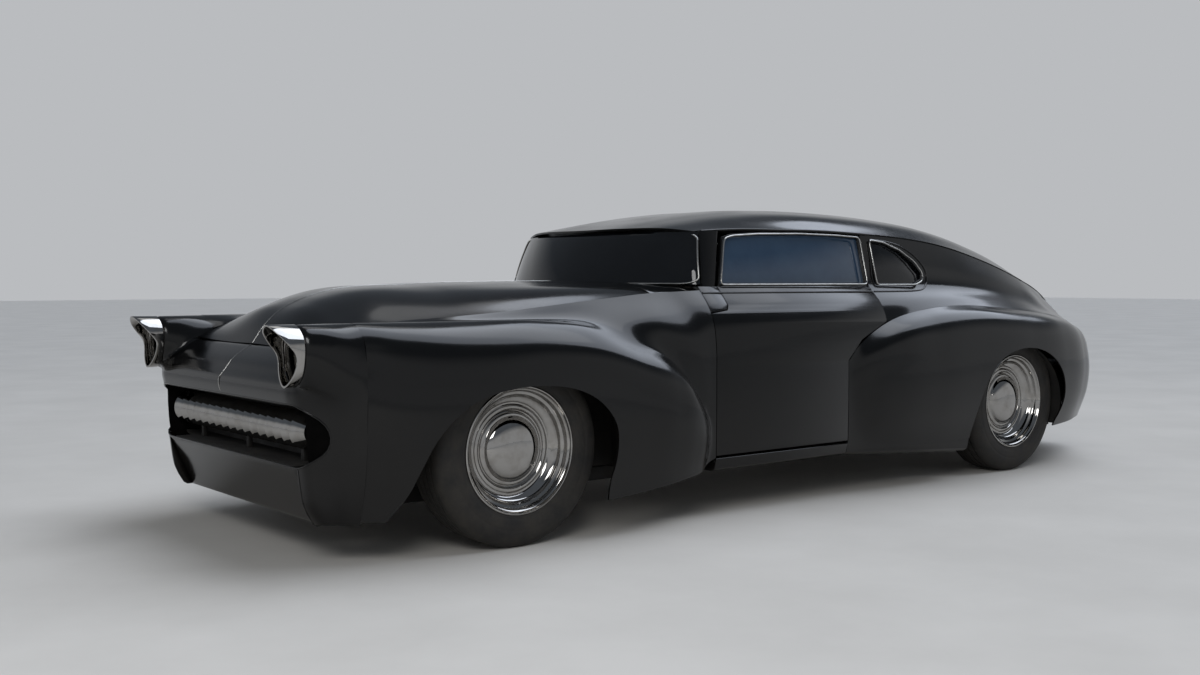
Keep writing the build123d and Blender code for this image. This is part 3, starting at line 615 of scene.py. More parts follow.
def soften(mesh, angle=35.0):
    """Smooth shading, but not over edges that turn by more than the angle."""
    bm = as_bmesh(mesh)
    for face in bm.faces:
        face.smooth = True
    for edge in bm.edges:
        edge.smooth = len(edge.link_faces) != 2 or edge.calc_face_angle(0.0) < radians(angle)
    bm.to_mesh(mesh)
    bm.free()


def show(name, bm, finishes, body, replaced=(), angle=35.0):
    """The finished mesh as a piece that rides on a body and stands for the solids named."""
    obj = put_in_scene(name, as_mesh(name, bm))
    soften(obj.data, angle)
    for finish in finishes:
        obj.data.materials.append(finish)
    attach(obj, body)
    if replaced:
        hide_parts(*replaced)
    return obj


def cut_away(obj, cutter_bm, operation="DIFFERENCE"):
    """Cuts the closed cutter out of a piece, or keeps only what lies in it."""
    cutter = put_in_scene("cutter", as_mesh("cutter", cutter_bm))
    step = obj.modifiers.new("cut", "BOOLEAN")
    step.object = cutter
    step.operation = operation
    step.solver = "EXACT"
    settle(obj)
    mesh = cutter.data
    bpy.data.objects.remove(cutter)
    bpy.data.meshes.remove(mesh)
    soften(obj.data)


def worn_edges(obj, width):
    edge = obj.modifiers.new("worn_edges", "BEVEL")
    edge.width = width * MM
    edge.segments = 2
    edge.limit_method = "ANGLE"
    edge.angle_limit = radians(40)
    settle(obj)
    soften(obj.data, 50)


def joined(parts):
    """Several meshes as one."""
    whole = parts[0]
    for part in parts[1:]:
        spare = as_mesh("spare", part)
        whole.from_mesh(spare)
        bpy.data.meshes.remove(spare)
    return whole


def on_both_sides(make):
    return joined([make(side) for side, word in sides])


# %% Blocks, prisms and outlines
def along(x):
    return front_axle_x + x


def moved(bm, step):
    bmesh.ops.translate(bm, verts=bm.verts, vec=Vector(step) * MM)
    return bm


def tilted(bm, centre, way, new_way):
    """Turned about a centre, so that what pointed one way points another."""
    turn = Vector(way).rotation_difference(Vector(new_way)).to_matrix()
    bmesh.ops.rotate(bm, cent=Vector(centre) * MM, matrix=turn, verts=bm.verts)
    return bm


def side_cutter(outline, y0, y1):
    """A closed prism across the car, drawn in side view."""
    bm = bmesh.new()
    face = bm.faces.new([bm.verts.new((along(x) * MM, y0 * MM, z * MM)) for x, z in outline])
    far = [item for item in bmesh.ops.extrude_face_region(bm, geom=[face])["geom"]
           if isinstance(item, bmesh.types.BMVert)]
    bmesh.ops.translate(bm, verts=far, vec=(0, (y1 - y0) * MM, 0))
    bmesh.ops.recalc_face_normals(bm, faces=bm.faces)
    return bm


def plan_cutter(outline, z0, z1):
    """A closed upright prism, drawn in plan: station and half width."""
    return solid_over([[(along(x), y, z) for x, y in outline] for z in (z0, z1)])


def front_cutter(outline, x0, x1):
    """A closed prism along the car, drawn from the front: half width and height."""
    return solid_over([[(along(x), y, z) for y, z in outline] for x in (x0, x1)])


def block(x0, x1, y0, y1, z0, z1, bevel=0.0, segments=2):
    """A closed block between stations x0 and x1, with its edges worn round if bevel is given."""
    bm = bmesh.new()
    bmesh.ops.create_cube(bm, size=1.0)
    bmesh.ops.scale(bm, vec=(abs(x1 - x0) * MM, abs(y1 - y0) * MM, abs(z1 - z0) * MM), verts=bm.verts)
    moved(bm, (along((x0 + x1) / 2), (y0 + y1) / 2, (z0 + z1) / 2))
    if bevel:
        bmesh.ops.bevel(bm, geom=bm.edges, offset=bevel * MM, segments=segments, profile=0.5,
                        affect="EDGES", material=-1)
    return bm


def rounded(outline):
    """The outline with its corners cut off at a quarter, twice over. Its ends stay."""
    for _ in range(2):
        out = [outline[0]]
        for a, b in zip(outline, outline[1:]):
            out.append((a[0] * 0.75 + b[0] * 0.25, a[1] * 0.75 + b[1] * 0.25))
            out.append((a[0] * 0.25 + b[0] * 0.75, a[1] * 0.25 + b[1] * 0.75))
        outline = out + [outline[-1]]
    return outline


def round_corners(outline, radius, steps=5):
    """A closed outline whose corners are arcs, near enough: curves between two points on its sides."""
    out = []
    n = len(outline)
    for i in range(n):
        corner = Vector(outline[i])
        before = corner + (Vector(outline[i - 1]) - corner).normalized() * radius
        after = corner + (Vector(outline[(i + 1) % n]) - corner).normalized() * radius
        for k in range(steps + 1):
            t = k / steps
            out.append(tuple((1 - t)**2 * before + 2 * t * (1 - t) * corner + t * t * after))
    return out


print("a block has", len(block(0, 100, 0, 100, 0, 100).faces), "faces")


# %% [markdown]
# ## Wings
# A front wing is a long pontoon: round on top, deepest at the axle, and fading into the door. Toward its
# tail the top turns into a crease against the body, so the section may bend sharply there, more and more
# from the axle back. The rear wing is a teardrop over the rear wheel, and a sill carries the rocker's line
# on under it. Both wings are open underneath, and a liner closes the space over the rear wheel.

# %% Front and rear wings
front_arch = [(-590, 120), (-575, 150), (-500, 245), (-462, 340), (-410, 460), (-310, 560), (-170, 612),
              (-20, 626), (130, 616), (240, 585), (325, 530), (382, 459), (397, 386), (392, 298), (368, 232),
              (362, 120)]
rear_arch = [(2740, 120), (2748, 300), (2768, 430), (2830, 540), (2930, 618), (3060, 655), (3200, 664),
             (3340, 640), (3460, 575), (3545, 480), (3580, 380), (3568, 300), (3520, 235), (3500, 120)]
wing_reach = (600, 1000)
panel_wall, liner_wall = 8.0, 3.0
door_line = chain(door_knots, (8,) * 7)
door_front = 1002.0


def share_of(x, start, end):
    """How far x lies between start and end, from 0 to 1."""
    return min(max((x - start) / (end - start), 0.0), 1.0)


def into_door(x, y, z):
    """Close to the door the wing's section turns into the door's own."""
    share = share_of(x, 940 - 110 * share_of(z, 500, 650), door_front)
    return y + (crossing(door_line, z, 1) - y) * share * share * (3 - 2 * share)


def side_sheet(rows, side, step, steps, crease=0, crease_span=(0.0, 1.0), meet=None):
    """A sheet on one side of the car, laid over a table. The crease comes in between two stations."""
    table = Stations(rows)
    lines = []
    for x in even_steps(table.xs, step):
        points = chain(in_pairs(table.at(x)), steps, crease, share_of(x, *crease_span))
        if meet:
            points = [(meet(x, y, z), z) for y, z in points]
        lines.append([(along(x), side * y, z) for y, z in points])
    return sheet_over(lines, (along(table.xs[len(table.xs) // 2]), 0, 500), panel_wall)


def arch_cutter(arch, side):
    return side_cutter(rounded(arch), side * wing_reach[0], side * wing_reach[1])


for side, word in sides:
    sheet = side_sheet(wing_rows, side, 14, (8, 8, 12, 16, 18), 2, (400, 760), into_door)
    front_wing = show("front_wing_skin_" + word, sheet, (paint, underseal), "body", ["front_wing_" + word])
    cut_away(front_wing, arch_cutter(front_arch, side))
    sheet = side_sheet(rear_wing_rows, side, 16, (8, 14, 12, 12))
    rear_wing = show("rear_wing_skin_" + word, sheet, (paint, underseal), "body", ["rear_wing_" + word])
    cut_away(rear_wing, arch_cutter(rear_arch, side))
print("front wing faces", len(front_wing.data.polygons), "rear wing faces", len(rear_wing.data.polygons))


# %% Sills under the rear wings, and the liners over the rear wheels
def sill_sheet(side):
    """Under the rear wing, from the door back to the wheel: it carries on the rocker's line."""
    table = Stations(rear_wing_rows)
    rows = []
    for x in even_steps([1862, 2165, 2830], 24):
        y, z = table.at(x)[-2:]
        low = 194 - 0.055 * (x - 1862)
        section = [(y - 5, z + 14), (y - 3, z - 2), (y - 12, low + 16), (y - 30, low + 2), (y - 116, low)]
        rows.append([(along(x), side * a, b) for a, b in section])
    return sheet_over(rows, (along(2400), 0, 600), liner_wall)


def wheel_house(side):
    """A liner over the rear wheel, just outside its arch, from the inner panel out to the wing."""
    centre = Vector((wheelbase, tyre_radius))
    ring = [centre + (Vector(p) - centre) * 1.05 for p in rounded(rear_arch)]
    ring = sorted([p for p in ring if p.y > (292 if p.x < wheelbase else 224)],
                  key=lambda p: atan2(p.y - 200, wheelbase - p.x))
    rows = [[(along(p.x), side * y, p.y) for p in ring] for y in (574, 640, 700, 760, 820, 850)]
    return sheet_over(rows, (along(wheelbase), 0, 5000), liner_wall)


sills = show("rear_sills", on_both_sides(sill_sheet), (paint, underseal), "body")
for side, word in sides:
    cut_away(sills, arch_cutter(rear_arch, side))
liners = show("rear_wheel_houses", on_both_sides(wheel_house), (underseal, underseal), "body")
print("sill faces", len(sills.data.polygons), "liner faces", len(liners.data.polygons))


# %% [markdown]
# ## Lids, roof and body sides
# The hood, the roof and the boot lid span the car, so their tables give half a section and the other half
# is its mirror. The roof has the rear window's hole, and the body side behind each door has the small
# window's. The holes are cut after the wall is on, so that their edges are closed.

# %% Lids and roof
def crown_line(table, x, steps):
    """Points over the car at a station: centre height, then out to the edge, and the same mirrored."""
    row = table.at(x)
    half = [(0.0, row[0])] + in_pairs(row, 1)
    knots = [(-y, z) for y, z in reversed(half)] + half[1:]
    return chain(knots, tuple(reversed(steps)) + steps)


def crown_sheet(rows, step, steps, front=None, front_steps=16):
    """A sheet that spans the car. With front, its first edge is a curve: a station for each half width."""
    table = Stations(rows)
    lines = []
    stations = even_steps(table.xs, step)
    if front:
        edge = [front(y) for y, z in crown_line(table, stations[0], steps)]
        meet = table.xs[2]
        for k in range(front_steps):
            line = []
            for j, start in enumerate(edge):
                x = start + (meet - start) * k / front_steps
                line.append((along(x), *crown_line(table, x, steps)[j]))
            lines.append(line)
        stations = [x for x in stations if x >= meet]
    for x in stations:
        lines.append([(along(x), y, z) for y, z in crown_line(table, x, steps)])
    return sheet_over(lines, (along(table.xs[0]), 0, 0), panel_wall)


def over_screen(y):
    """Station of the roof's front edge, which follows the windscreen's head."""
    return 905 + 168 * (y / 600)**2


lid_form, boot_form = crown_sheet(hood_rows, 18, (12, 12, 12)), crown_sheet(boot_rows, 18, (12, 10, 8))
lid = show("engine_lid_skin", lid_form, (paint, underseal), "engine_lid", ["engine_lid"])
boot = show("boot_lid_skin", boot_form, (paint, underseal), "boot_lid", ["boot_lid"])
roof_form = crown_sheet(roof_rows, 22, (14, 12, 10), over_screen)
roof = show("roof_skin", roof_form, (paint, dash_coat), "body", ["roof"])
rear_window_plan = round_corners([(3130, -400), (3130, 400), (3560, 330), (3560, -330)], 60)
cut_away(roof, plan_cutter(rear_window_plan, 900, 1400))
print("lid faces", len(lid.data.polygons), "boot", len(boot.data.polygons), "roof", len(roof.data.polygons))

# %% Body sides behind the doors
quarter_window = round_corners([(2200, 990), (2195, 1216), (2300, 1206), (2420, 1168), (2520, 1112),
                                (2572, 1050), (2560, 1010), (2500, 990)], 14, 3)
hinge_x, hinge_y, door_reach, door_gap = 1006.0, 840.0, 1143.0, 3.0


def hinge_drum(side, radius):
    """A closed upright drum about a door's hinge line, taller than the door at both ends."""
    bm = bmesh.new()
    bmesh.ops.create_cone(bm, cap_ends=True, segments=256, radius1=radius * MM, radius2=radius * MM,
                          depth=1250 * MM)
    return moved(bm, (along(hinge_x), side * hinge_y, 775))


for side, word in sides:
    sheet = side_sheet(quarter_rows, side, 20, (10, 10, 10, 8))
    quarter = show("body_side_skin_" + word, sheet, (paint, dash_coat), "body", ["quarter_panel_" + word])
    cut_away(quarter, side_cutter(quarter_window, side * 560, side * 740))
    cut_away(quarter, hinge_drum(side, door_reach + door_gap))
print("body side faces", len(quarter.data.polygons))


# %% Tail's sides, and the shelves beside them
def tail_shelf(side):
    """The narrow shelf between the top of the rear wing's end and the tail's side."""
    wing_table, tail_table = Stations(rear_wing_rows), Stations(tail_rows)
    rows = []
    for x in range(3916, 4146, 14):
        wing_y, wing_z = wing_table.at(x)[:2]
        down = chain(in_pairs(tail_table.at(max(x, tail_table.xs[0]))), (8,) * 4)
        tail_y = min(crossing(down, wing_z + 12, 1) - 12, wing_y - 6)
        rows.append([(along(x), side * (wing_y + 5 + (tail_y - wing_y - 5) * k / 6), wing_z - 3 + 2.5 * k)
                     for k in range(7)])
    return sheet_over(rows, (along(4030), 0, -3000), liner_wall)


def tail_side(side):
    return side_sheet(tail_rows, side, 20, (8, 8, 8, 8, 8))


show("tail_shelves", on_both_sides(tail_shelf), (paint, underseal), "body")
tail = show("tail_side_skins", on_both_sides(tail_side), (paint, underseal), "body", ["tail_sides"])
print("tail side faces", len(tail.data.polygons))


# %% [markdown]
# ## Nose
# The nose is one soft form: a blunt face, two lamp pods that grow out of the wings, and a long pill-shaped
# mouth. On the real car its parts were welded and leaded over until no seam was left. The same is done
# here: closed rough forms are laid over their tables, remeshed into one skin, rubbed smooth, and only then
# are the mouth, the lamp bores and the hollow behind cut out.

# %% Nose block and lamp pods
nose_table = Stations(nose_rows)
nose_back, wing_joint, nose_top = -590.0, -640.0, 742
pod_rows = [
    (-850, 592, 735, 588, 770, 606, 832, 673, 864, 742, 832, 759, 768, 735, 689, 700, 655),
    (-760, 564, 742, 572, 790, 602, 845, 684, 864, 763, 832, 785, 757, 780, 680, 752, 620),
    (-640, 564, 812, 584, 826, 606, 838, 700, 864, 775, 820, 800, 745, 808, 640, 800, 590),
    (-590, 570, 824, 590, 834, 612, 842, 706, 864, 792, 818, 820, 745, 830, 640, 822, 590),
]
pod_keel = [(700, 640), (600, 690)]
valley = [(-840, 655), (-826, 690), (-750, 743), (-690, 780), (-640, 808), (-590, 824), (-590, 700),
          (-790, 640)]


def nose_side(z, inset=0.0):
    """Half of the nose's plan outline at a height, from the back of one side to the middle."""
    front, half, corner_x, corner_y, side_y = nose_table.at(z)
    corner = (corner_x + inset, corner_y - inset)
    flank = ((corner_x + wing_joint) / 2, (side_y + corner_y) / 2 + 8 - inset)
    turn = (front + 14 + inset, half + 60 - inset)
    return chain([(wing_joint, side_y - inset), flank, corner, turn, (front + inset, half)], (8, 8, 12, 6))


def nose_ring(z, inset=0.0):
    """The whole outline at a height, closed behind, in millimetres."""
    half = [(nose_back, nose_table.at(z)[4] + 22 - inset)] + nose_side(z, inset)
    left = [(along(x), -y, z) for x, y in half]
    right = [(along(x), y, z) for x, y in reversed(half)]
    middle = [(right[0][0], left[-1][1] + (right[0][1] - left[-1][1]) * k / 12, z) for k in range(1, 12)]
    return left + middle + right


def pod_block(side):
    """The lamp's tube, which widens rearward into the wing's own section."""
    table = Stations(pod_rows)
    rings = []
    for x in even_steps(table.xs, 15):
        points = chain(in_pairs(table.at(x)), (3, 5, 5, 6, 5, 5, 4)) + pod_keel
        rings.append([(along(x), side * y, z) for y, z in points])
    return solid_over(rings)


def nose_volume():
    heights = [130 + k * 14 for k in range(45)] + [757, 766]
    bm = solid_over([nose_ring(z) for z in heights])
    for side, word in sides:
        bm = joined([bm, pod_block(side), side_cutter(valley, side * 562, side * 660)])
    return bm


def remeshed(obj, size_mm):
    """One closed skin round everything in the piece, in cells of that size."""
    skin = obj.modifiers.new("skin", "REMESH")
    skin.mode = "VOXEL"
    skin.voxel_size = size_mm * MM
    settle(obj)


def rub(bm, strokes):
    for stroke in range(strokes):
        bmesh.ops.smooth_vert(bm, verts=bm.verts, factor=0.5, use_axis_x=True, use_axis_y=True,
                              use_axis_z=True)


nose = show("nose_skin", nose_volume(), (paint,), "body", ["nose_panel", "lamp_pods"])
remeshed(nose, 7.5)
rubbed = as_bmesh(nose.data)
rub(rubbed, 14)
rubbed.to_mesh(nose.data)
rubbed.free()
print("nose skin", len(nose.data.polygons), "faces")


# %% [markdown]
# The outline of a lamp, seen from the front, is an egg with its narrow end down. Eight points on it, drawn
# to the size that is asked for, are joined by a smooth closed curve. The same egg gives the bore in the
# pod, the chrome ring, the glass and the reflector.

# %% Lamp outlines
lamp_size = (588.0, 759.0, 645.0, 864.0)
egg_shares = [(0.5, 1.0), (0.90, 0.84), (1.0, 0.56), (0.86, 0.20), (0.5, 0.0), (0.14, 0.20), (0.0, 0.56),
              (0.10, 0.84)]


def egg(x, side, shrink=0.0, size=lamp_size, steps=8):
    """A row of points round a lamp's outline at station x, given its inner, outer, low and high edges."""
    inner, outer, low, high = size
    width, tall = outer - inner - 2 * shrink, high - low - 2 * shrink
    corners = [(along(x), side * (inner + shrink + width * p), low + shrink + tall * q)
               for p, q in egg_shares]
    return [tuple(point) for point in through(corners, steps, closed=True)]


# %% The mouth and the hollow behind the nose
mouth_low, mouth_high, mouth_half = 351.0, 583.0, 723.0
pod_inner = 561


def pill_outline(margin=0.0, steps=16):
    """The mouth's outline from the front, half width and height."""
    radius = (mouth_high - mouth_low) / 2
    middle = (mouth_high + mouth_low) / 2
    out = []
    for end in (1, -1):
        for k in range(steps + 1):
            turn = pi / 2 - pi * k / steps
            reach = mouth_half - radius + (radius - margin) * cos(turn)
            out.append((end * reach, middle + end * (radius - margin) * sin(turn)))
    return out


def lamp_bore(side):
    return solid_over([egg(-900, side, 8.0), egg(-850, side, 8.0), egg(-760, side, 8.0, (588, 770, 650, 856)),
                       egg(-580, side, 8.0, (592, 770, 655, 852))])


def levels(z0, z1, count):
    return [z0 + (z1 - z0) * k / count for k in range(count + 1)]


def wide_hollow():
    """The space behind the nose's wall, up to the lamps."""
    rings = []
    for z in levels(110, 618, 30):
        ring = nose_ring(max(z, 131), 10.0)
        rings.append([(px + (12 if px < along(-600) else 20), py, z) for px, py, pz in ring])
    return solid_over(rings)


def narrow_hollow():
    """The space behind the nose's wall between the lamps."""
    rings = []
    for z in levels(600, nose_top, 10):
        front, back = along(nose_table.at(z)[0] + 10), along(nose_back)
        rings.append([(x, y, z) for x, y in ((front, -pod_inner), (front, pod_inner),
                                             (back, pod_inner), (back, -pod_inner))])
    return solid_over(rings)


nose_cuts = {
    "ragged foot": block(-1000, -560, -1000, 1000, 60, 150),
    "back, where the wings start": block(wing_joint, -500, -1000, 1000, 60, 1000),
    "inside, under the lamps": wide_hollow(),
    "inside, between the lamps": narrow_hollow(),
    "what rises over the lid's front edge": block(-1000, -600, -pod_inner, pod_inner, 767, 900),
    "place of the front pan": block(-1000, -600, -616, 616, 60, mouth_low + 12),
    "what lies under the lid's front": block(-707, -600, -pod_inner, pod_inner, 735, 900),
    "left lamp's bore": lamp_bore(-1),
    "right lamp's bore": lamp_bore(1),
    "mouth": front_cutter(pill_outline(), -1000, -600),
}
for part, cutter in nose_cuts.items():
    cut_away(nose, cutter)
print("nose skin after cutting", len(nose.data.polygons), "faces")


# %% [markdown]
# ## Lamps
# Each lamp is a chrome tube with a visor: its front edge sweeps back from a long upper lip to the middle
# and then drops almost straight. The tube is a closed wall between two eggs, and the visor's sweep is cut
# through it. Behind it sit a thin inner ring, a domed fluted glass and a bright reflector bowl.

# %% Lamp rings
visor_edge = through([(-955, 0, 867), (-938, 0, 836), (-907, 0, 796), (-882, 0, 764), (-875, 0, 738),
                      (-879, 0, 700), (-890, 0, 645), (-892, 0, 610)], 5)
visor = [(-1100, 900), (-958, 900)] + [(point.x, point.z) for point in visor_edge] + [(-1100, 600)]


def closed_wall(rings):
    """A solid like a tube's wall, whose last ring meets its first."""
    return solid_over(rings + rings[:1])


def egg_wall(stages):
    """A closed wall for each lamp, from eggs at (station, shrink)."""
    return on_both_sides(lambda side: closed_wall([egg(x, side, shrink, steps=12) for x, shrink in stages]))


lamp_tube = [(-960, 0.0), (-905, 0.0), (-850, 0.0), (-842, 8.0), (-900, 6.5), (-960, 5.5)]
inner_ring = [(-846, 9.0), (-853, 12.0), (-854, 16.0), (-848, 18.0), (-838, 17.0)]
lamp_rings = show("lamp_ring_chrome", egg_wall(lamp_tube), (chrome,), "body", ["lamp_rings"])
for side, word in sides:
    cut_away(lamp_rings, side_cutter(visor, side * 560, side * 790))
worn_edges(lamp_rings, 1.2)
show("lamp_inner_ring_chrome", egg_wall(inner_ring), (chrome,), "body")
print("lamp rings", len(lamp_rings.data.polygons), "faces")


# %% Lamp glasses and reflectors
def dome_rings(side, x, rise, shrink, count=7):
    """Rings of a dome: the egg at the edge, closing toward its middle, rise mm further forward."""
    inner, outer, low, high = lamp_size
    middle_y, middle_z = side * (inner + outer) / 2, (low + high) / 2 + 8
    rings = []
    for k in range(count + 1):
        part = cos(pi / 2 * k / count) if k < count else 0.02
        rim = egg(x - rise * sin(pi / 2 * k / count), side, shrink)
        rings.append([(px, middle_y + (py - middle_y) * part, middle_z + (pz - middle_z) * part)
                      for px, py, pz in rim])
    return rings


def lamp_dome(side):
    return solid_over([egg(-806, side, 13.0)] + dome_rings(side, -812, 24, 13.0))


def reflector_bowl(side):
    return closed_wall(dome_rings(side, -802, -52, 10.0) + list(reversed(dome_rings(side, -804, -48, 13.0))))


domes = show("lamp_glass_domes", on_both_sides(lamp_dome), (lamp_glass,), "body", ["lamp_lenses"])
show("lamp_reflector_bowls", on_both_sides(reflector_bowl), (chrome,), "body")
print("lamp glasses", len(domes.data.polygons), "faces")


# %% [markdown]
# ## The ring stack in the mouth
# Seventeen bright cone rings sit on one bar across the mouth, each one's narrow end in the next one's wide
# end, like cups in a stack. One ring is a thin wall with a rolled lip, turned on a lathe, so its section is
# spun about the bar, and the others are copies of it, moved along. The bar stands on three legs, and a
# flat black wall closes each end of the mouth: painted shade, for the dark hollow there.

# %% Ends of the mouth, in painted shade
def mouth_shade_wall(side):
    """A flat black wall of painted shade that closes one end of the mouth, 10 mm behind the nose's own face.
    """
    rows = []
    for z in levels(mouth_low - 6, mouth_high + 6, 14):
        face = Stations(sorted((y, x) for x, y in nose_side(z, 10.0) if 600 < y < 780))
        line = [(along(face.at(y)[0]), side * y, z) for y in (750, 730, 710, 695, 680, 668)]
        rows.append(line + [(along(-650), side * 645, z)])
    return sheet_over(rows, (along(-650), 0, 471), liner_wall)


# These walls carry painted shade, so the mouth's ends read as dark hollows.
mouth_shade_walls = show("mouth_shade_walls", on_both_sides(mouth_shade_wall), (painted_shade_black, painted_shade_black), "body")
print("mouth ends", len(mouth_shade_walls.data.polygons), "faces")


# %% Ring stack
def spun(profile, place, side=1, steps=48, closed=True):
    """A profile of (radius, distance outward) turned round the line across the car, at a place in mm.
    One that isn't closed ends on the line at both ends."""
    bm = bmesh.new()
    corners = [bm.verts.new((0, side * d * MM, r * MM)) for r, d in profile]
    following = corners[1:] + corners[:1] if closed else corners[1:]
    edges = [bm.edges.new(pair) for pair in zip(corners, following)]
    bmesh.ops.spin(bm, geom=corners + edges, cent=(0, 0, 0), axis=(0, 1, 0), dvec=(0, 0, 0), angle=2 * pi,
                   steps=steps, use_merge=True, use_duplicate=False)
    bmesh.ops.remove_doubles(bm, verts=bm.verts, dist=2e-6)
    bmesh.ops.recalc_face_normals(bm, faces=bm.faces)
    return moved(bm, place)


cup = [(43.5, 0.0), (50.0, 16.0), (57.5, 38.0), (64.0, 58.0), (66.8, 67.0), (68.2, 69.2), (68.8, 71.0),
       (68.2, 72.8), (66.6, 73.2), (65.0, 71.6), (62.2, 58.0), (55.4, 38.0), (48.0, 16.0), (41.8, 1.0)]
grille_x, grille_y, grille_z = -720.0, 37.0, 471.0
ring_pitch, ring_count = 70.6, 17
stack_end = ring_count * ring_pitch / 2
cups = []
for i in range(ring_count):
    left = grille_y + (i - ring_count / 2) * ring_pitch
    cups.append(spun(cup, (along(grille_x), left, grille_z), steps=64))
show("ring_stack_chrome", joined(cups), (chrome,), "body", ["ring_stack"], angle=30)
core = [(0.0, 30 - stack_end), (34.0, 30 - stack_end), (40.0, 34 - stack_end), (40.0, stack_end - 60),
        (34.0, stack_end - 56), (0.0, stack_end - 56)]
stand = [spun(core, (along(grille_x), grille_y, grille_z))]
for y in (-474, 14, 477):
    stand.append(block(grille_x - 9, grille_x + 9, y - 12, y + 12, mouth_low + 8, grille_z - 46, 3))
show("ring_stack_bar_and_legs", joined(stand), (underseal,), "body")
print("ring stack", ring_count, "cups")


# %% [markdown]
# A rolled bead runs round the mouth, where the sheet's edge was turned over a wire. It is a tube on the
# outline of the mouth, laid on the nose's own surface, and it is what draws the thin light line below.

# %% Beads: a smooth line with a round section
def bead(name, lines, radius, finish, body, closed=False):
    """Round rods of that radius along lines of points in millimetres, as one piece."""
    shape = bpy.data.curves.new(name, "CURVE")
    shape.dimensions = "3D"
    shape.bevel_depth = radius * MM
    shape.bevel_resolution = 3
    shape.use_fill_caps = True
    for line in lines:
        run = shape.splines.new("POLY")
        run.points.add(len(line) - 1)
        for point, place in zip(run.points, line):
            point.co = (*(Vector(place) * MM), 1.0)
        run.use_cyclic_u = closed
    rough = put_in_scene(name + "_line", shape)
    mesh = evaluated_mesh(rough)
    bm = as_bmesh(mesh)
    bmesh.ops.remove_doubles(bm, verts=bm.verts, dist=1e-6)
    bmesh.ops.recalc_face_normals(bm, faces=bm.faces)
    bpy.data.objects.remove(rough)
    bpy.data.curves.remove(shape)
    bpy.data.meshes.remove(mesh)
    return show(name, bm, (finish,), body, angle=60)


# %% Front pan, and the mouth's rolled edge
pan_low, pan_half = 141, 618


def pan_front(z):
    return -817 + (mouth_low - z) * 0.44


def pan_sheet():
    """The front pan leans back under the mouth; a plate at each end closes it against the nose."""
    rows = []
    for z in [pan_low + 14 * k for k in range(15)] + [mouth_low]:
        rows.append([(along(pan_front(z)), -pan_half + pan_half * k / 14, z) for k in range(29)])
    end = [(-817, 351), (-807, 270), (-799, 226), (-783, 188), (-760, 150), (-745, pan_low),
           (pan_front(pan_low), pan_low)]
    ends = [side_cutter(end, side * (pan_half - 4), side * (pan_half + 3)) for side, word in sides]
    return joined([sheet_over(rows, (along(0), 0, 300), 5.0)] + ends)


pan = show("front_pan_skin", pan_sheet(), (paint, underseal), "body", ["front_pan"])
worn_edges(pan, 1.5)
round_mouth = [(along(crossing(nose_side(z), abs(y), 1)) + 3, y, z) for y, z in pill_outline(2.0)]
bead("mouth_rolled_edge", [round_mouth], 4.0, paint, "body", closed=True)
print("mouth bead points", len(round_mouth))


# %% [markdown]
# A narrow polished bead covers the joint down the middle of the hood and goes on down the nose. The part
# on the hood rides with the lid.

# %% Centre bead
hood_table = Stations(hood_rows)
over_lid = [(along(x), 0, hood_table.at(x)[0]) for x in even_steps([-709, -600, -200, 742], 16)]
down_nose = [(along(nose_table.at(z)[0]), 0, z) for z in
             (765, 756, 745, 735, 720, 706, 690, 673, 658, 645, 632, 618, 602, 590)]
bead("hood_centre_bead", [over_lid], 1.7, stainless, "engine_lid")
bead("nose_centre_bead", [down_nose], 1.7, stainless, "body")
print("centre bead points", len(over_lid) + len(down_nose))


# %% [markdown]
# ## Doors
# A door is a box: a pressed outer skin that follows the body's section, and a flat trimmed lining inside.
# Its section is the same all along, so it is one loft between two stations, then trimmed to the door's
# outline and to the arc that its free edge swings through. The same section fills the corner that each
# windscreen pillar stands on.

# %% Doors, pillars and the blocks under the pillars
door_face = chain(door_knots, (6, 6, 6, 6, 6, 6, 4))
door_lining = [(664, 988), (722, 930), (768, 838), (772, 266)]
door_outline = [(1012, 266), (1857, 266), (1857, 643), (1953, 735), (2000, 757), (2152, 820), (2152, 988),
                (1128, 988), (1128, 905), (1112, 885), (1012, 872)]
pillar_base = [(1011, 877), (1110, 889.5), (1124, 908), (1124, 988), (1011, 988)]
pillar_foot = round_corners([(1037, 706), (1117, 706), (1117, 672), (1052, 668)], 12, 4)
pillar_head = round_corners([(1082, 634), (1196, 643), (1196, 610), (1098, 604)], 12, 4)


def pillar_post(side):
    return solid_over([[(along(x), side * y, z) for x, y in ring]
                       for ring, z in ((pillar_foot, 960), (pillar_head, 1234))])


def door_section(side, x0, x1):
    """The door's section between two stations, with the second finish on its inner side."""
    bm = solid_over([[(along(x), side * y, z) for y, z in door_face + door_lining] for x in (x0, x1)])
    for face in bm.faces:
        if face.normal.y * side < -0.3:
            face.material_index = 1
    return bm


def trim_to(obj, outline, side):
    """Keeps what lies within an outline in side view, on one side of the car."""
    cut_away(obj, side_cutter(outline, side * 500, side * 900), "INTERSECT")


show("screen_pillar_posts", on_both_sides(pillar_post), (paint,), "body", ["screen_pillars"])
for side, word in sides:
    base = show("pillar_base_" + word, door_section(side, 1000, 1200), (paint, dash_coat), "body")
    trim_to(base, pillar_base, side)
    worn_edges(base, 1.5)
for side, word in sides:
    name = "door_" + word
    door = show("door_skin_" + word, door_section(side, 1000, 2200), (paint, leather), name, [name])
    trim_to(door, door_outline, side)
    cut_away(door, hinge_drum(side, door_reach), "INTERSECT")
    worn_edges(door, 2.0)
print("door faces", len(door.data.polygons))


# %% [markdown]
# ## Glass
# The windscreen is one curved pane, an arc at its foot and a flatter one at its head, leaning back. It is
# laid over thirteen arcs, so that reflections run over it without a break. The side panes are flat, and
# the rear window follows the roof.

# %% Windscreen and rear window
screen_foot = (790.0, 1028.0, 700.0, 998.0)
screen_head = (912.0, 1078.0, 632.0, 1228.0)
roof_table = Stations(roof_rows)


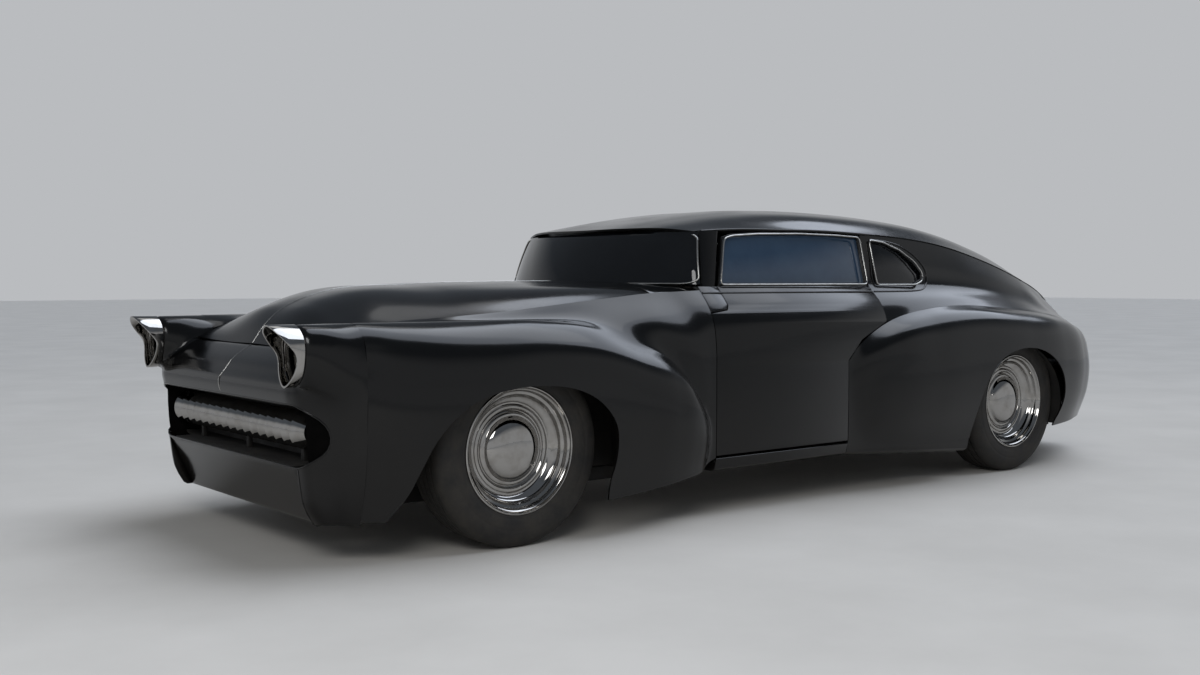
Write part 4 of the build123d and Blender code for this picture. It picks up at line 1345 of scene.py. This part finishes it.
def screen_point(across_part, up_part, push=0.0):
    """A point on the windscreen: across from -1 to 1, up from 0 to 1, push mm behind its face."""
    ends = []
    for middle_x, corner_x, half, z in (screen_foot, screen_head):
        drop = corner_x - middle_x
        radius = (half**2 + drop**2) / (2 * drop)
        turn = across_part * atan2(half, radius - drop)
        ends.append(Vector((middle_x + radius * (1 - cos(turn)), radius * sin(turn), z)))
    bulge = Vector((-1, 0, 0.5)) * 7 * (1 - (2 * up_part - 1)**2)
    spot = ends[0].lerp(ends[1], up_part) + bulge
    return (along(spot.x) + push, spot.y, spot.z)


def rear_point(across_part, up_part, push=0.0):
    """The same for the rear window, which lies 9 mm under the roof's outside."""
    x, half = 3122 + 446 * up_part, 408 - 86 * up_part
    row = roof_table.at(x)
    over = chain([(0.0, row[0])] + in_pairs(row, 1), (20, 14, 12))
    return (along(x), across_part * half, crossing(over, abs(across_part) * half, 0) - 9 - push)


def pane(point_at, columns, rows, thickness):
    """A curved pane: front face, then back face, joined round the edge."""
    rings = []
    for j in range(rows + 1):
        face = [point_at(i / columns * 2 - 1, j / rows, 0.0) for i in range(columns + 1)]
        back = [point_at(i / columns * 2 - 1, j / rows, thickness) for i in range(columns, -1, -1)]
        rings.append(face + back)
    return solid_over(rings)


screen_form, rear_form = pane(screen_point, 48, 12, 6.0), pane(rear_point, 40, 24, 5.0)
screen = show("windscreen_pane", screen_form, (window_glass,), "body", ["windscreen"], angle=60)
show("rear_window_pane", rear_form, (window_glass,), "body", ["rear_window"], angle=60)
print("windscreen faces", len(screen.data.polygons))


# %% [markdown]
# ## Bright strips round the glass
# A thin polished strip frames the windscreen's foot and sides, and each side window. Along the body below
# the windows runs a painted ledge that sweeps up behind the small window, and a drip rail lies over the
# doors. All are round beads along lines on the surfaces that they sit on.

# %% Window strips, belt ledge and drip rail
door_window = round_corners([(1142, 996), (1206, 1200), (1259, 1214), (1420, 1225), (1700, 1232),
                             (1950, 1230), (2125, 1223), (2125, 996)], 24)
quarter_rim = round_corners([(2199, 993), (2196, 1213), (2300, 1203), (2419, 1165), (2518, 1110),
                             (2568, 1050), (2557, 1013), (2499, 993)], 22, 4)
ledge_sweep = through([(2160, 0, 960), (2320, 0, 960), (2470, 0, 962), (2560, 0, 972), (2612, 0, 1005),
                       (2622, 0, 1060), (2590, 0, 1106), (2530, 0, 1150), (2440, 0, 1186), (2330, 0, 1206),
                       (2210, 0, 1214)], 6)
ledge_z = 960
quarter_table = Stations(quarter_rows)


def on_side_glass(outline, side, push):
    """An outline in side view, laid on the side windows' leaning plane, push mm further out."""
    lean = (641.0 - 703.0) / (1240.0 - 985.0)
    return [(along(x), side * (703.0 + lean * (z - 985.0) + push), z) for x, z in outline]


def body_side_y(x, z):
    """Half width of the body's side behind the door."""
    return crossing(chain(in_pairs(quarter_table.at(x)), (10, 10, 10, 8)), z, 1)


screen_corners = round_corners([(-1.005, 0.975), (-1.005, 0.01), (1.005, 0.01), (1.005, 0.975)], 0.14, 6)
screen_line = []
for (a0, u0), (a1, u1) in zip(screen_corners[3:-3], screen_corners[4:-2]):
    screen_line += [screen_point(a0 + (a1 - a0) * k / 12, u0 + (u1 - u0) * k / 12, -3) for k in range(12)]
bead("windscreen_strip", [screen_line], 3.6, stainless, "body")
for side, word in sides:
    frame_line = on_side_glass(door_window, side, 15.0)
    bead("door_window_strip_" + word, [frame_line], 4.0, stainless, "door_" + word, closed=True)
    frame_line = on_side_glass(quarter_rim, side, 13.0)
    bead("small_window_strip_" + word, [frame_line], 4.0, stainless, "body", closed=True)
    ledge_y = crossing(door_face, ledge_z, 1) - 0.5
    ledge = [(along(1016 + 32 * k), side * ledge_y, ledge_z) for k in range(36)]
    bead("door_belt_ledge_" + word, [ledge], 5.0, paint, "door_" + word)
    sweep = [(along(p.x), side * (body_side_y(p.x, p.z) - 0.5), p.z) for p in ledge_sweep]
    bead("body_side_ledge_" + word, [sweep], 5.0, paint, "body")
    edges = [(x, roof_table.at(x)) for x in even_steps([1104, 1580, 2200], 40)]
    rail = [(along(x), side * (row[5] + 3), row[6] - 3) for x, row in edges]
    bead("drip_rail_" + word, [rail], 5.5, paint, "body")
print("strip points", len(screen_line), len(ledge), len(sweep), len(rail))


# %% [markdown]
# ## Wheels
# Each wheel is a steel rim under chrome, deep and stepped like a dish, with a domed cap in the middle. All
# of it was turned or pressed round one line, so one section is spun. The tyre is spun the same way, with
# its rim guard, its bulging sidewall and four grooves round the tread, and gets a UV map as it is made:
# the fine sipes follow it.

# %% Rims and tyres
wheel_y = 722.0
rim_face = [
    (0, 74), (14, 73.8), (32, 73), (52, 71), (72, 67.6), (90, 62.8), (104, 57), (114, 50.6), (121, 43.6),
    (125, 36.6), (128, 34.4), (132, 34), (137, 33), (140.5, 30.6), (142, 27), (142.5, 24.2), (145, 23.4),
    (149, 25.2), (152, 30), (156, 33.4), (161, 33.8), (166, 32), (169, 28.4), (173, 27.2), (178, 28.4),
    (181, 32.4), (185, 36), (191, 38.6), (198, 42.4), (204, 47.6), (208.5, 54), (210.5, 60.6), (213, 64.6),
    (218, 67), (223, 70), (226, 75), (227.5, 81), (229.5, 85), (233.5, 87.6), (236.6, 91), (238, 96),
    (240, 99), (243, 100), (246, 98.6),
]
rim_back = [(246, 91), (237, 84), (237, -84), (246, -91), (246, -100), (228, -92), (228, 14), (176, 12),
            (140, 22), (34, 22), (34, 39), (0, 39)]
half_tyre = [
    (246, 93), (249.5, 97.4), (254, 99.6), (258, 99.2), (261, 100.4), (266, 102.6), (276, 104.4),
    (288, 105.6), (300, 106), (303, 105.2), (306, 105.9), (318, 105.2), (330, 103.6), (341, 100.8),
    (350, 96.8), (358, 91.4), (364, 85.4), (368, 78.8), (370.4, 71.6), (371.6, 64), (372, 56), (371.6, 53.5),
    (364.5, 52.5), (364.5, 47.5), (371.8, 46.5), (372, 40), (372, 21), (371.8, 19), (364.5, 18), (364.5, 13),
    (371.8, 12), (372, 9),
]
tyre_section = half_tyre + [(r, -d) for r, d in reversed(half_tyre)]


def lay_round_and_across(bm, profile, x, y, side):
    """A UV map for a spun piece: turns round the axle, and distance along its section."""
    layer = bm.loops.layers.uv.new("round_and_across")
    lengths = path_lengths(profile)
    across = {(round(r, 1), round(d, 1)): part / lengths[-1] for (r, d), part in zip(profile, lengths)}
    for face in bm.faces:
        heart = face.calc_center_median()
        near = atan2(heart.z - tyre_radius * MM, heart.x - x * MM) / (2 * pi)
        for loop in face.loops:
            spot = loop.vert.co
            turn = atan2(spot.z - tyre_radius * MM, spot.x - x * MM) / (2 * pi)
            turn += round(near - turn)
            r = hypot(spot.z - tyre_radius * MM, spot.x - x * MM) / MM
            d = side * (spot.y / MM - y)
            loop[layer].uv = (turn, across.get((round(r, 1), round(d, 1)), 0.0))


for end, axle in (("front", front_axle_x), ("rear", rear_axle_x)):
    for side, word in sides:
        where = end + "_" + word
        centre = (axle, side * wheel_y, tyre_radius)
        rim = spun(rim_face + rim_back, centre, side, 112, closed=False)
        rim_piece = show("rim_chrome_" + where, rim, (chrome,), "wheel_" + where, ["rim_" + where], angle=28)
        tyre = spun(tyre_section, centre, side, 112)
        lay_round_and_across(tyre, tyre_section, axle, side * wheel_y, side)
        tyre_piece = show("tyre_rubber_" + where, tyre, (rubber,), "wheel_" + where, ["tyre_" + where],
                          angle=40)
print("rim faces", len(rim_piece.data.polygons), "tyre faces", len(tyre_piece.data.polygons))


# %% [markdown]
# ## Seats
# Front and rear there is a bench: sprung cushion and backrest under leather, sewn in upright pleats. Each
# one starts as a rounded block a little smaller than its place, is remeshed, and swells as cloth with
# pressure inside and gravity off. A cap keeps any point from moving too far, and the pleats are pressed in
# afterwards, because a remesh would wipe them out.

# %% Padded seats
seat_inset, skin_cell, swell_frames, swell_cap = 12, 17, 20, 14
pleat_pitch, pleat_depth, plain_edge = 86.0, 11, 70.0


def seat_block(outline, half):
    """A block with worn edges, from a side view, a little smaller all round than the seat will be."""
    middle = Vector((sum(p[0] for p in outline), sum(p[1] for p in outline))) / len(outline)
    small = [tuple(Vector(p) + (middle - Vector(p)).normalized() * seat_inset) for p in outline]
    bm = side_cutter(small, seat_inset - half, half - seat_inset)
    bmesh.ops.bevel(bm, geom=bm.edges, offset=26 * MM, segments=3, profile=0.5, affect="EDGES", material=-1)
    return bm


def swell(obj):
    """Cloth with pressure inside, run for some frames; no point moves further than the cap."""
    rest = [vert.co.copy() for vert in obj.data.vertices]
    cloth = obj.modifiers.new("swell", "CLOTH")
    cloth.settings.use_pressure = True
    cloth.settings.uniform_pressure_force = 4.0
    cloth.settings.quality = 4
    cloth.settings.effector_weights.gravity = 0.0
    cloth.point_cache.frame_start = 1
    cloth.point_cache.frame_end = swell_frames
    scene = bpy.context.scene
    for step in range(1, swell_frames + 1):
        scene.frame_set(step)
    settle(obj)
    scene.frame_set(1)
    for vert, start in zip(obj.data.vertices, rest):
        move = vert.co - start
        if move.length > swell_cap * MM:
            vert.co = start + move.normalized() * swell_cap * MM


def press_pleats(obj, half):
    """Upright pleats across the seat: the skin is drawn in along lines one pitch apart."""
    bm = as_bmesh(obj.data)
    bmesh.ops.subdivide_edges(bm, edges=bm.edges, cuts=1, use_grid_fill=True)
    rub(bm, 2)
    bm.normal_update()
    moves = []
    for vert in bm.verts:
        y = vert.co.y / MM
        inside = share_of(half - plain_edge - abs(y), 0, 20)
        groove = (abs(((y / pleat_pitch) % 1.0) - 0.5) * 2)**6
        moves.append((vert, vert.normal * -pleat_depth * MM * groove * inside * (1 - abs(vert.normal.y))))
    for vert, move in moves:
        vert.co += move
    bm.to_mesh(obj.data)
    bm.free()
    soften(obj.data, 60)


def make_seat(name, outline, half):
    obj = show(name + "_leather", seat_block(outline, half), (leather,), "body", [name])
    remeshed(obj, skin_cell)
    swell(obj)
    press_pleats(obj, half)
    return obj


seat_low = 214.0
seats = {
    "front_cushion": (610, [(1490, seat_low), (1490, 400), (1530, 430), (1960, 410), (1980, seat_low)]),
    "front_backrest": (610, [(1988, 240), (1966, 420), (2060, 850), (2085, 870), (2130, 860), (2140, 830),
                             (2110, 240)]),
    "rear_cushion": (540, [(2300, seat_low), (2300, 390), (2340, 425), (2640, 405), (2650, seat_low)]),
    "rear_backrest": (540, [(2655, 240), (2646, 410), (2728, 820), (2760, 845), (2800, 830), (2736, 540),
                            (2736, 240)]),
}
for name, (half, outline) in seats.items():
    seat = make_seat(name, outline, half)
print("seat faces", len(seat.data.polygons))


# %% [markdown]
# ## Cabin
# The floor is carpeted. The dashboard is a pressed steel panel with rolled edges and three dials in front
# of the driver. The steering wheel is thin, with three spokes and a horn ring, on a plain column. CAD
# solids that only need their edges worn are copied, merged and bevelled.

# %% Worn copies of plain solids
def worn_copy(node, finish, width, angle=40.0):
    """A copy of a solid with its loose triangles merged and its edges worn round, in its place."""
    bm = as_bmesh(nodes[node].data)
    bmesh.ops.remove_doubles(bm, verts=bm.verts, dist=2e-6)
    bmesh.ops.dissolve_limit(bm, angle_limit=radians(1.0), verts=bm.verts, edges=bm.edges)
    sharp = [edge for edge in bm.edges
             if len(edge.link_faces) == 2 and edge.calc_face_angle(0.0) > radians(angle)]
    bmesh.ops.bevel(bm, geom=sharp, offset=width * MM, segments=2, profile=0.5, affect="EDGES", material=-1,
                    clamp_overlap=True)
    return show(node + "_worn", bm, (finish,), nodes[node]["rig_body"], [node])


for node, finish, width in (("dashboard", dash_coat, 5.0), ("rockers", paint, 3.0),
                            ("frame_rails", underseal, 6.0), ("cross_members", underseal, 4.0),
                            ("cowl", paint, 2.0), ("tail_panel", paint, 6.0),
                            ("mouth_recess", underseal, 2.0), ("floor", underseal, 2.0),
                            ("engine", cast_iron, 14.0)):
    piece = worn_copy(node, finish, width)
show("cabin_carpet", block(775, 2728, -640, 640, 212.4, 219, 2.5), (carpet,), "body")
print("engine faces", len(piece.data.polygons))


# %% [markdown]
# Round things on the dash, the steering column and the tail are turned about a line that isn't the axle's,
# so they are spun first and then turned to their own line and moved to their place.

# %% Dials
def turned(profile, way, place, steps=48, closed=False):
    """A spun piece whose line points the way given, at its place in mm."""
    return moved(tilted(spun(profile, (0, 0, 0), 1, steps, closed), (0, 0, 0), (0, 1, 0), way), place)


dial_x, dial_way = 1195, (1, 0, 0.1)
dial_places = [(along(dial_x), y, 903) for y in (-450, -360, -270)]
bezel = [(27, -3), (33, -3), (34, 2), (33, 5.5), (30.5, 7), (28.5, 6), (27.5, 3)]
face_disc = [(0, -2), (28, -2), (28, 2.5), (0, 2.5)]
needle_pin = [(0, 2), (2.4, 2), (2.4, 5), (1.4, 6), (0, 6.4)]
bezels = [turned(bezel, dial_way, place, closed=True) for place in dial_places]
faces = [turned(face_disc, dial_way, place) for place in dial_places]
show("dial_bezels", joined(bezels), (chrome,), "body")
show("dial_faces", joined(faces), (dial_face,), "body")
needles = []
for px, py, pz in dial_places:
    needles.append(turned(needle_pin, dial_way, (px, py, pz), 16))
    needles.append(block(dial_x + 3.4, dial_x + 4.6, py - 1.2, py + 1.2, pz - 6, pz + 20, 0.4, 1))
show("dial_needles", joined(needles), (rim_plastic,), "body")
print("dials", len(dial_places))

# %% Steering wheel
column_foot, column_head = Vector((along(1060), -360, 690)), Vector((along(1330), -360, 800))
column_way = (column_head - column_foot).normalized()
side_way = Vector((0, 1, 0))
up_way = column_way.cross(side_way)
grip_radius, spoke_foot, spoke_sag = 195, 30, 10


def ring_section(radius, middle, wide, deep, count):
    """An oval, as the section of a ring that is spun."""
    turns = [2 * pi * k / count for k in range(count)]
    return [(radius + wide * cos(turn), middle + deep * sin(turn)) for turn in turns]


hub = [(0, -150), (11.9, -150), (11.9, 4), (26, 6), (38, 14), (40, 26), (40, 44), (34, 54), (20, 60), (0, 62)]
grip = turned(ring_section(grip_radius, 40, 11.5, 9.5, 12), column_way, column_head, 96, closed=True)
wheel_parts = joined([grip, turned(hub, column_way, column_head)])
show("steering_wheel_rim_and_hub", wheel_parts, (rim_plastic,), "steering_wheel", ["steering_wheel"])
spokes = []
for turn in (radians(0), radians(180), radians(-90)):
    way = side_way * cos(turn) + up_way * sin(turn)
    middle = column_head + column_way * 38
    spokes.append([tuple(middle + way * r - column_way * spoke_sag * sin(pi * (r - spoke_foot) / 165))
                   for r in range(spoke_foot, grip_radius + 1, 11)])
bead("steering_wheel_spokes", spokes, 5.0, stainless, "steering_wheel")
horn_ring = turned(ring_section(118, 46, 3.5, 3.5, 8), column_way, column_head, 64, closed=True)
show("horn_ring", horn_ring, (chrome,), "steering_wheel")
print("spokes", len(spokes))

# %% Tail lamps
tail_lamp_places = [(along(4483.5), side * 290, 520) for side, word in sides]
lamp_bezel = [(40, -6), (50, -6), (51, 0), (49, 6), (45, 9.5), (42, 8), (40.5, 4)]
lamp_lens = [(0, -2), (41, -2), (41, 4), (36, 8), (28, 10), (16, 11.4), (0, 12)]
bezels = [turned(lamp_bezel, (1, 0, 0), place, closed=True) for place in tail_lamp_places]
show("tail_lamp_bezels", joined(bezels), (chrome,), "body")
lenses = [turned(lamp_lens, (1, 0, 0), place) for place in tail_lamp_places]
show("tail_lamp_lenses", joined(lenses), (red_acrylic,), "body", ["tail_lamps"])
print("tail lamps", len(tail_lamp_places))


# %% [markdown]
# ## Under the hood and under the car
# The engine is a closed block; it gets its heads with their bolts, rocker covers, exhaust headers, fan,
# radiator, intake and a round air cleaner, which is what is seen with the hood up. The frame, axle, arms,
# pipes and inner panels keep their solids, with the edges worn round and the underside's finishes.

# %% Engine dressing
def rocker_cover(side):
    cover = tilted(block(50, 610, -46, 46, -24, 24, 10, 3), (along(330), 0, 0), (0, 0, 1), (0, side * 0.6, 1))
    return moved(cover, (0, side * 132, 812))


show("rocker_covers", on_both_sides(rocker_cover), (chrome,), "body")
heads = [block(46, 614, side * 150 - 52, side * 150 + 52, 690, 800, 12, 3) for side, word in sides]
bolt = [(0, 0), (9, 0), (10, 1.5), (10, 7), (8.5, 9), (0, 9)]
bolts = [spun(bolt, (along(x), side * 201, z), side, 6, closed=False)
         for side, word in sides for x in range(80, 600, 72) for z in (712, 776)]
show("cylinder_heads", joined(heads + bolts), (cast_iron,), "body")
headers = []
for side, word in sides:
    for x in (110, 260, 400, 550):
        bend = through([(x, 198, 744), (x, 222, 742), (x + 8, 240, 722), (x + 14, 244, 680),
                        (x + 16, 240, 640)], 5)
        headers.append([(along(p.x), side * p.y, p.z) for p in bend])
    headers.append([(along(96 + 30 * k), side * 240, 634) for k in range(18)])
bead("exhaust_headers", headers, 17.0, exhaust_steel, "body")
print("bolts", len(bolts), "header pipes", len(headers))

# %% Fan, radiator, intake and air cleaner
fan_z, blade_count = 610, 6
hub = [(0, 0), (34, 0), (36, 4), (36, 30), (30, 36), (0, 38)]
pulley = [(0, 0), (72, 0), (74, 3), (64, 11), (74, 19), (72, 22), (20, 24), (0, 24)]
fan = [turned(hub, (-1, 0, 0), (along(18), 0, fan_z)), turned(pulley, (-1, 0, 0), (along(20), 0, 430), 64)]
for k in range(blade_count):
    spin = 2 * pi * k / blade_count
    root = (along(-13), 0, 0)
    blade = tilted(block(-15, -11, 28, 158, -27, 27, 1.8), root, (1, 0, 0), (1, 0, 0.5))
    fan.append(moved(tilted(blade, root, (0, 1, 0), (0, cos(spin), sin(spin))), (0, 0, fan_z)))
show("fan_and_pulley", joined(fan), (cast_iron,), "body")
radiator = [block(-322, -262, -262, 262, 700, 742, 10, 3), block(-318, -266, -262, 262, 330, 356, 6, 2)]
radiator += [block(-316, -268, side * 256 - 8, side * 256 + 8, 352, 704, 3) for side, word in sides]
radiator += [block(-310, -274, y, y + 2.4, 354, 702) for y in range(-246, 246, 7)]
show("radiator", joined(radiator), (underseal,), "body")
show("intake_manifold", block(130, 530, -70, 70, 796, 842, 16, 3), (cast_iron,), "body")
cleaner = [(0, 0), (60, 0), (70, 6), (168, 8), (178, 14), (180, 26), (178, 52), (172, 60), (150, 66),
           (60, 70), (40, 74), (0, 76)]
show("air_cleaner", turned(cleaner, (0, 0, 1), (along(330), 0, 842), 72), (chrome,), "body")
print("radiator parts", len(radiator), "fan blades", blade_count)

# %% The other plain solids
for node in ("front_suspension", "rear_axle", "knuckle_left", "knuckle_right", "firewall", "inner_panels"):
    worn_copy(node, underseal, 2.0)
worn_copy("steering_column", dash_coat, 1.5)
worn_copy("exhaust_pipes", exhaust_steel, 1.5)
for side, word in sides:
    worn_copy("door_window_trim_" + word, paint, 2.0)
    worn_copy("door_glass_" + word, door_glass_painted_sky, 1.0)
worn_copy("quarter_window_trim", paint, 2.0)
worn_copy("quarter_glass", window_glass, 1.0)
print("solids still shown as they are:", [name for name, node in nodes.items() if not node.hide_render])


# %% [markdown]
# ## Stage, light and camera
# The car stands on a wide pale floor of trowelled concrete. Two soft boxes light it, one high over the
# front corner and one overhead, which draws the long highlights on the wings, and a wide soft sky lamp
# stands for the open sky behind the car. The world is pale round the horizon and darker above. The camera
# stands where the photograph was taken from, low and near the front corner.

# %% Floor
def make_floor():
    bm = bmesh.new()
    bmesh.ops.create_grid(bm, x_segments=1, y_segments=1, size=60)
    floor = put_in_scene("studio_floor", as_mesh("studio_floor", bm))
    material, tree, surface, place = start_finish("pale_trowelled_concrete")
    lay_patches(tree, surface, place, 900.0, ("C6C2BB", "CECAC3"), (0.85, 0.85), 6.0, 0.6)
    floor.data.materials.append(material)
    return floor


print("floor", make_floor().name)


# %% Soft boxes, and the sky behind them
def facing(axis, way):
    """The turn that points an object's own axis the way given."""
    return Vector(way).to_track_quat(axis, "Y").to_euler()


def soft_box(name, place, target, size, power):
    data = bpy.data.lights.new(name, "AREA")
    data.shape = "RECTANGLE"
    data.size, data.size_y = size
    data.energy = power
    lamp = put_in_scene(name, data)
    lamp.location = place
    lamp.rotation_euler = facing("-Z", Vector(target) - Vector(place))


soft_box("corner_soft_box", (-6.5, -5.5, 5.0), (-1.5, 0, 0.6), (4, 2.5), 190)
soft_box("overhead_soft_box", (2.5, 0.5, 8.0), (2.0, 0.2, 0), (11, 3), 90)
sky = bpy.data.lights.new("soft_sky_lamp", "SUN")
sky.energy = 2.1
sky.angle = radians(58)
sky.color = linear("E9F1FF")[:3]
put_in_scene("soft_sky_lamp", sky).rotation_euler = facing("Z", (0.57, -0.03, 0.82))


# %% World
def make_world():
    """Pale all round the horizon, darker above it, so that metal has something dark to mirror."""
    world = bpy.data.worlds.new("studio_world")
    bpy.context.scene.world = world
    world.use_nodes = True
    tree = world.node_tree
    way = add(tree, "ShaderNodeTexCoord").outputs["Generated"]
    height = add(tree, "ShaderNodeSeparateXYZ", None, {"Vector": way}).outputs["Z"]
    share = add(tree, "ShaderNodeMapRange", {"From Min": 0.24, "From Max": 0.42}, {"Value": height})
    background = tree.nodes["Background"].inputs
    add(tree, "ShaderNodeMix", {"data_type": "RGBA", 6: linear("BABCBF"), 7: linear("666C74")},
        {"Factor": share.outputs["Result"]}, {2: background["Color"]})
    background["Strength"].default_value = 1.0
    return world


print("world", make_world().name)

# %% Camera
image_width, focal_pixels = 1200.0, 1289.75
camera_data = bpy.data.cameras.new("camera")
camera_data.sensor_width = 36.0
camera_data.lens = focal_pixels / image_width * camera_data.sensor_width
camera = put_in_scene("camera", camera_data)
camera.location = (front_axle_x * MM - 2.7904, -4.8086, 1.0196)
yaw, pitch = radians(38.50), radians(2.586)
camera.rotation_euler = facing("-Z", (sin(yaw) * cos(pitch), cos(yaw) * cos(pitch), -sin(pitch)))
bpy.context.scene.camera = camera
bpy.context.scene.view_settings.view_transform = "Standard"
print("camera at", [round(v, 3) for v in camera.location])
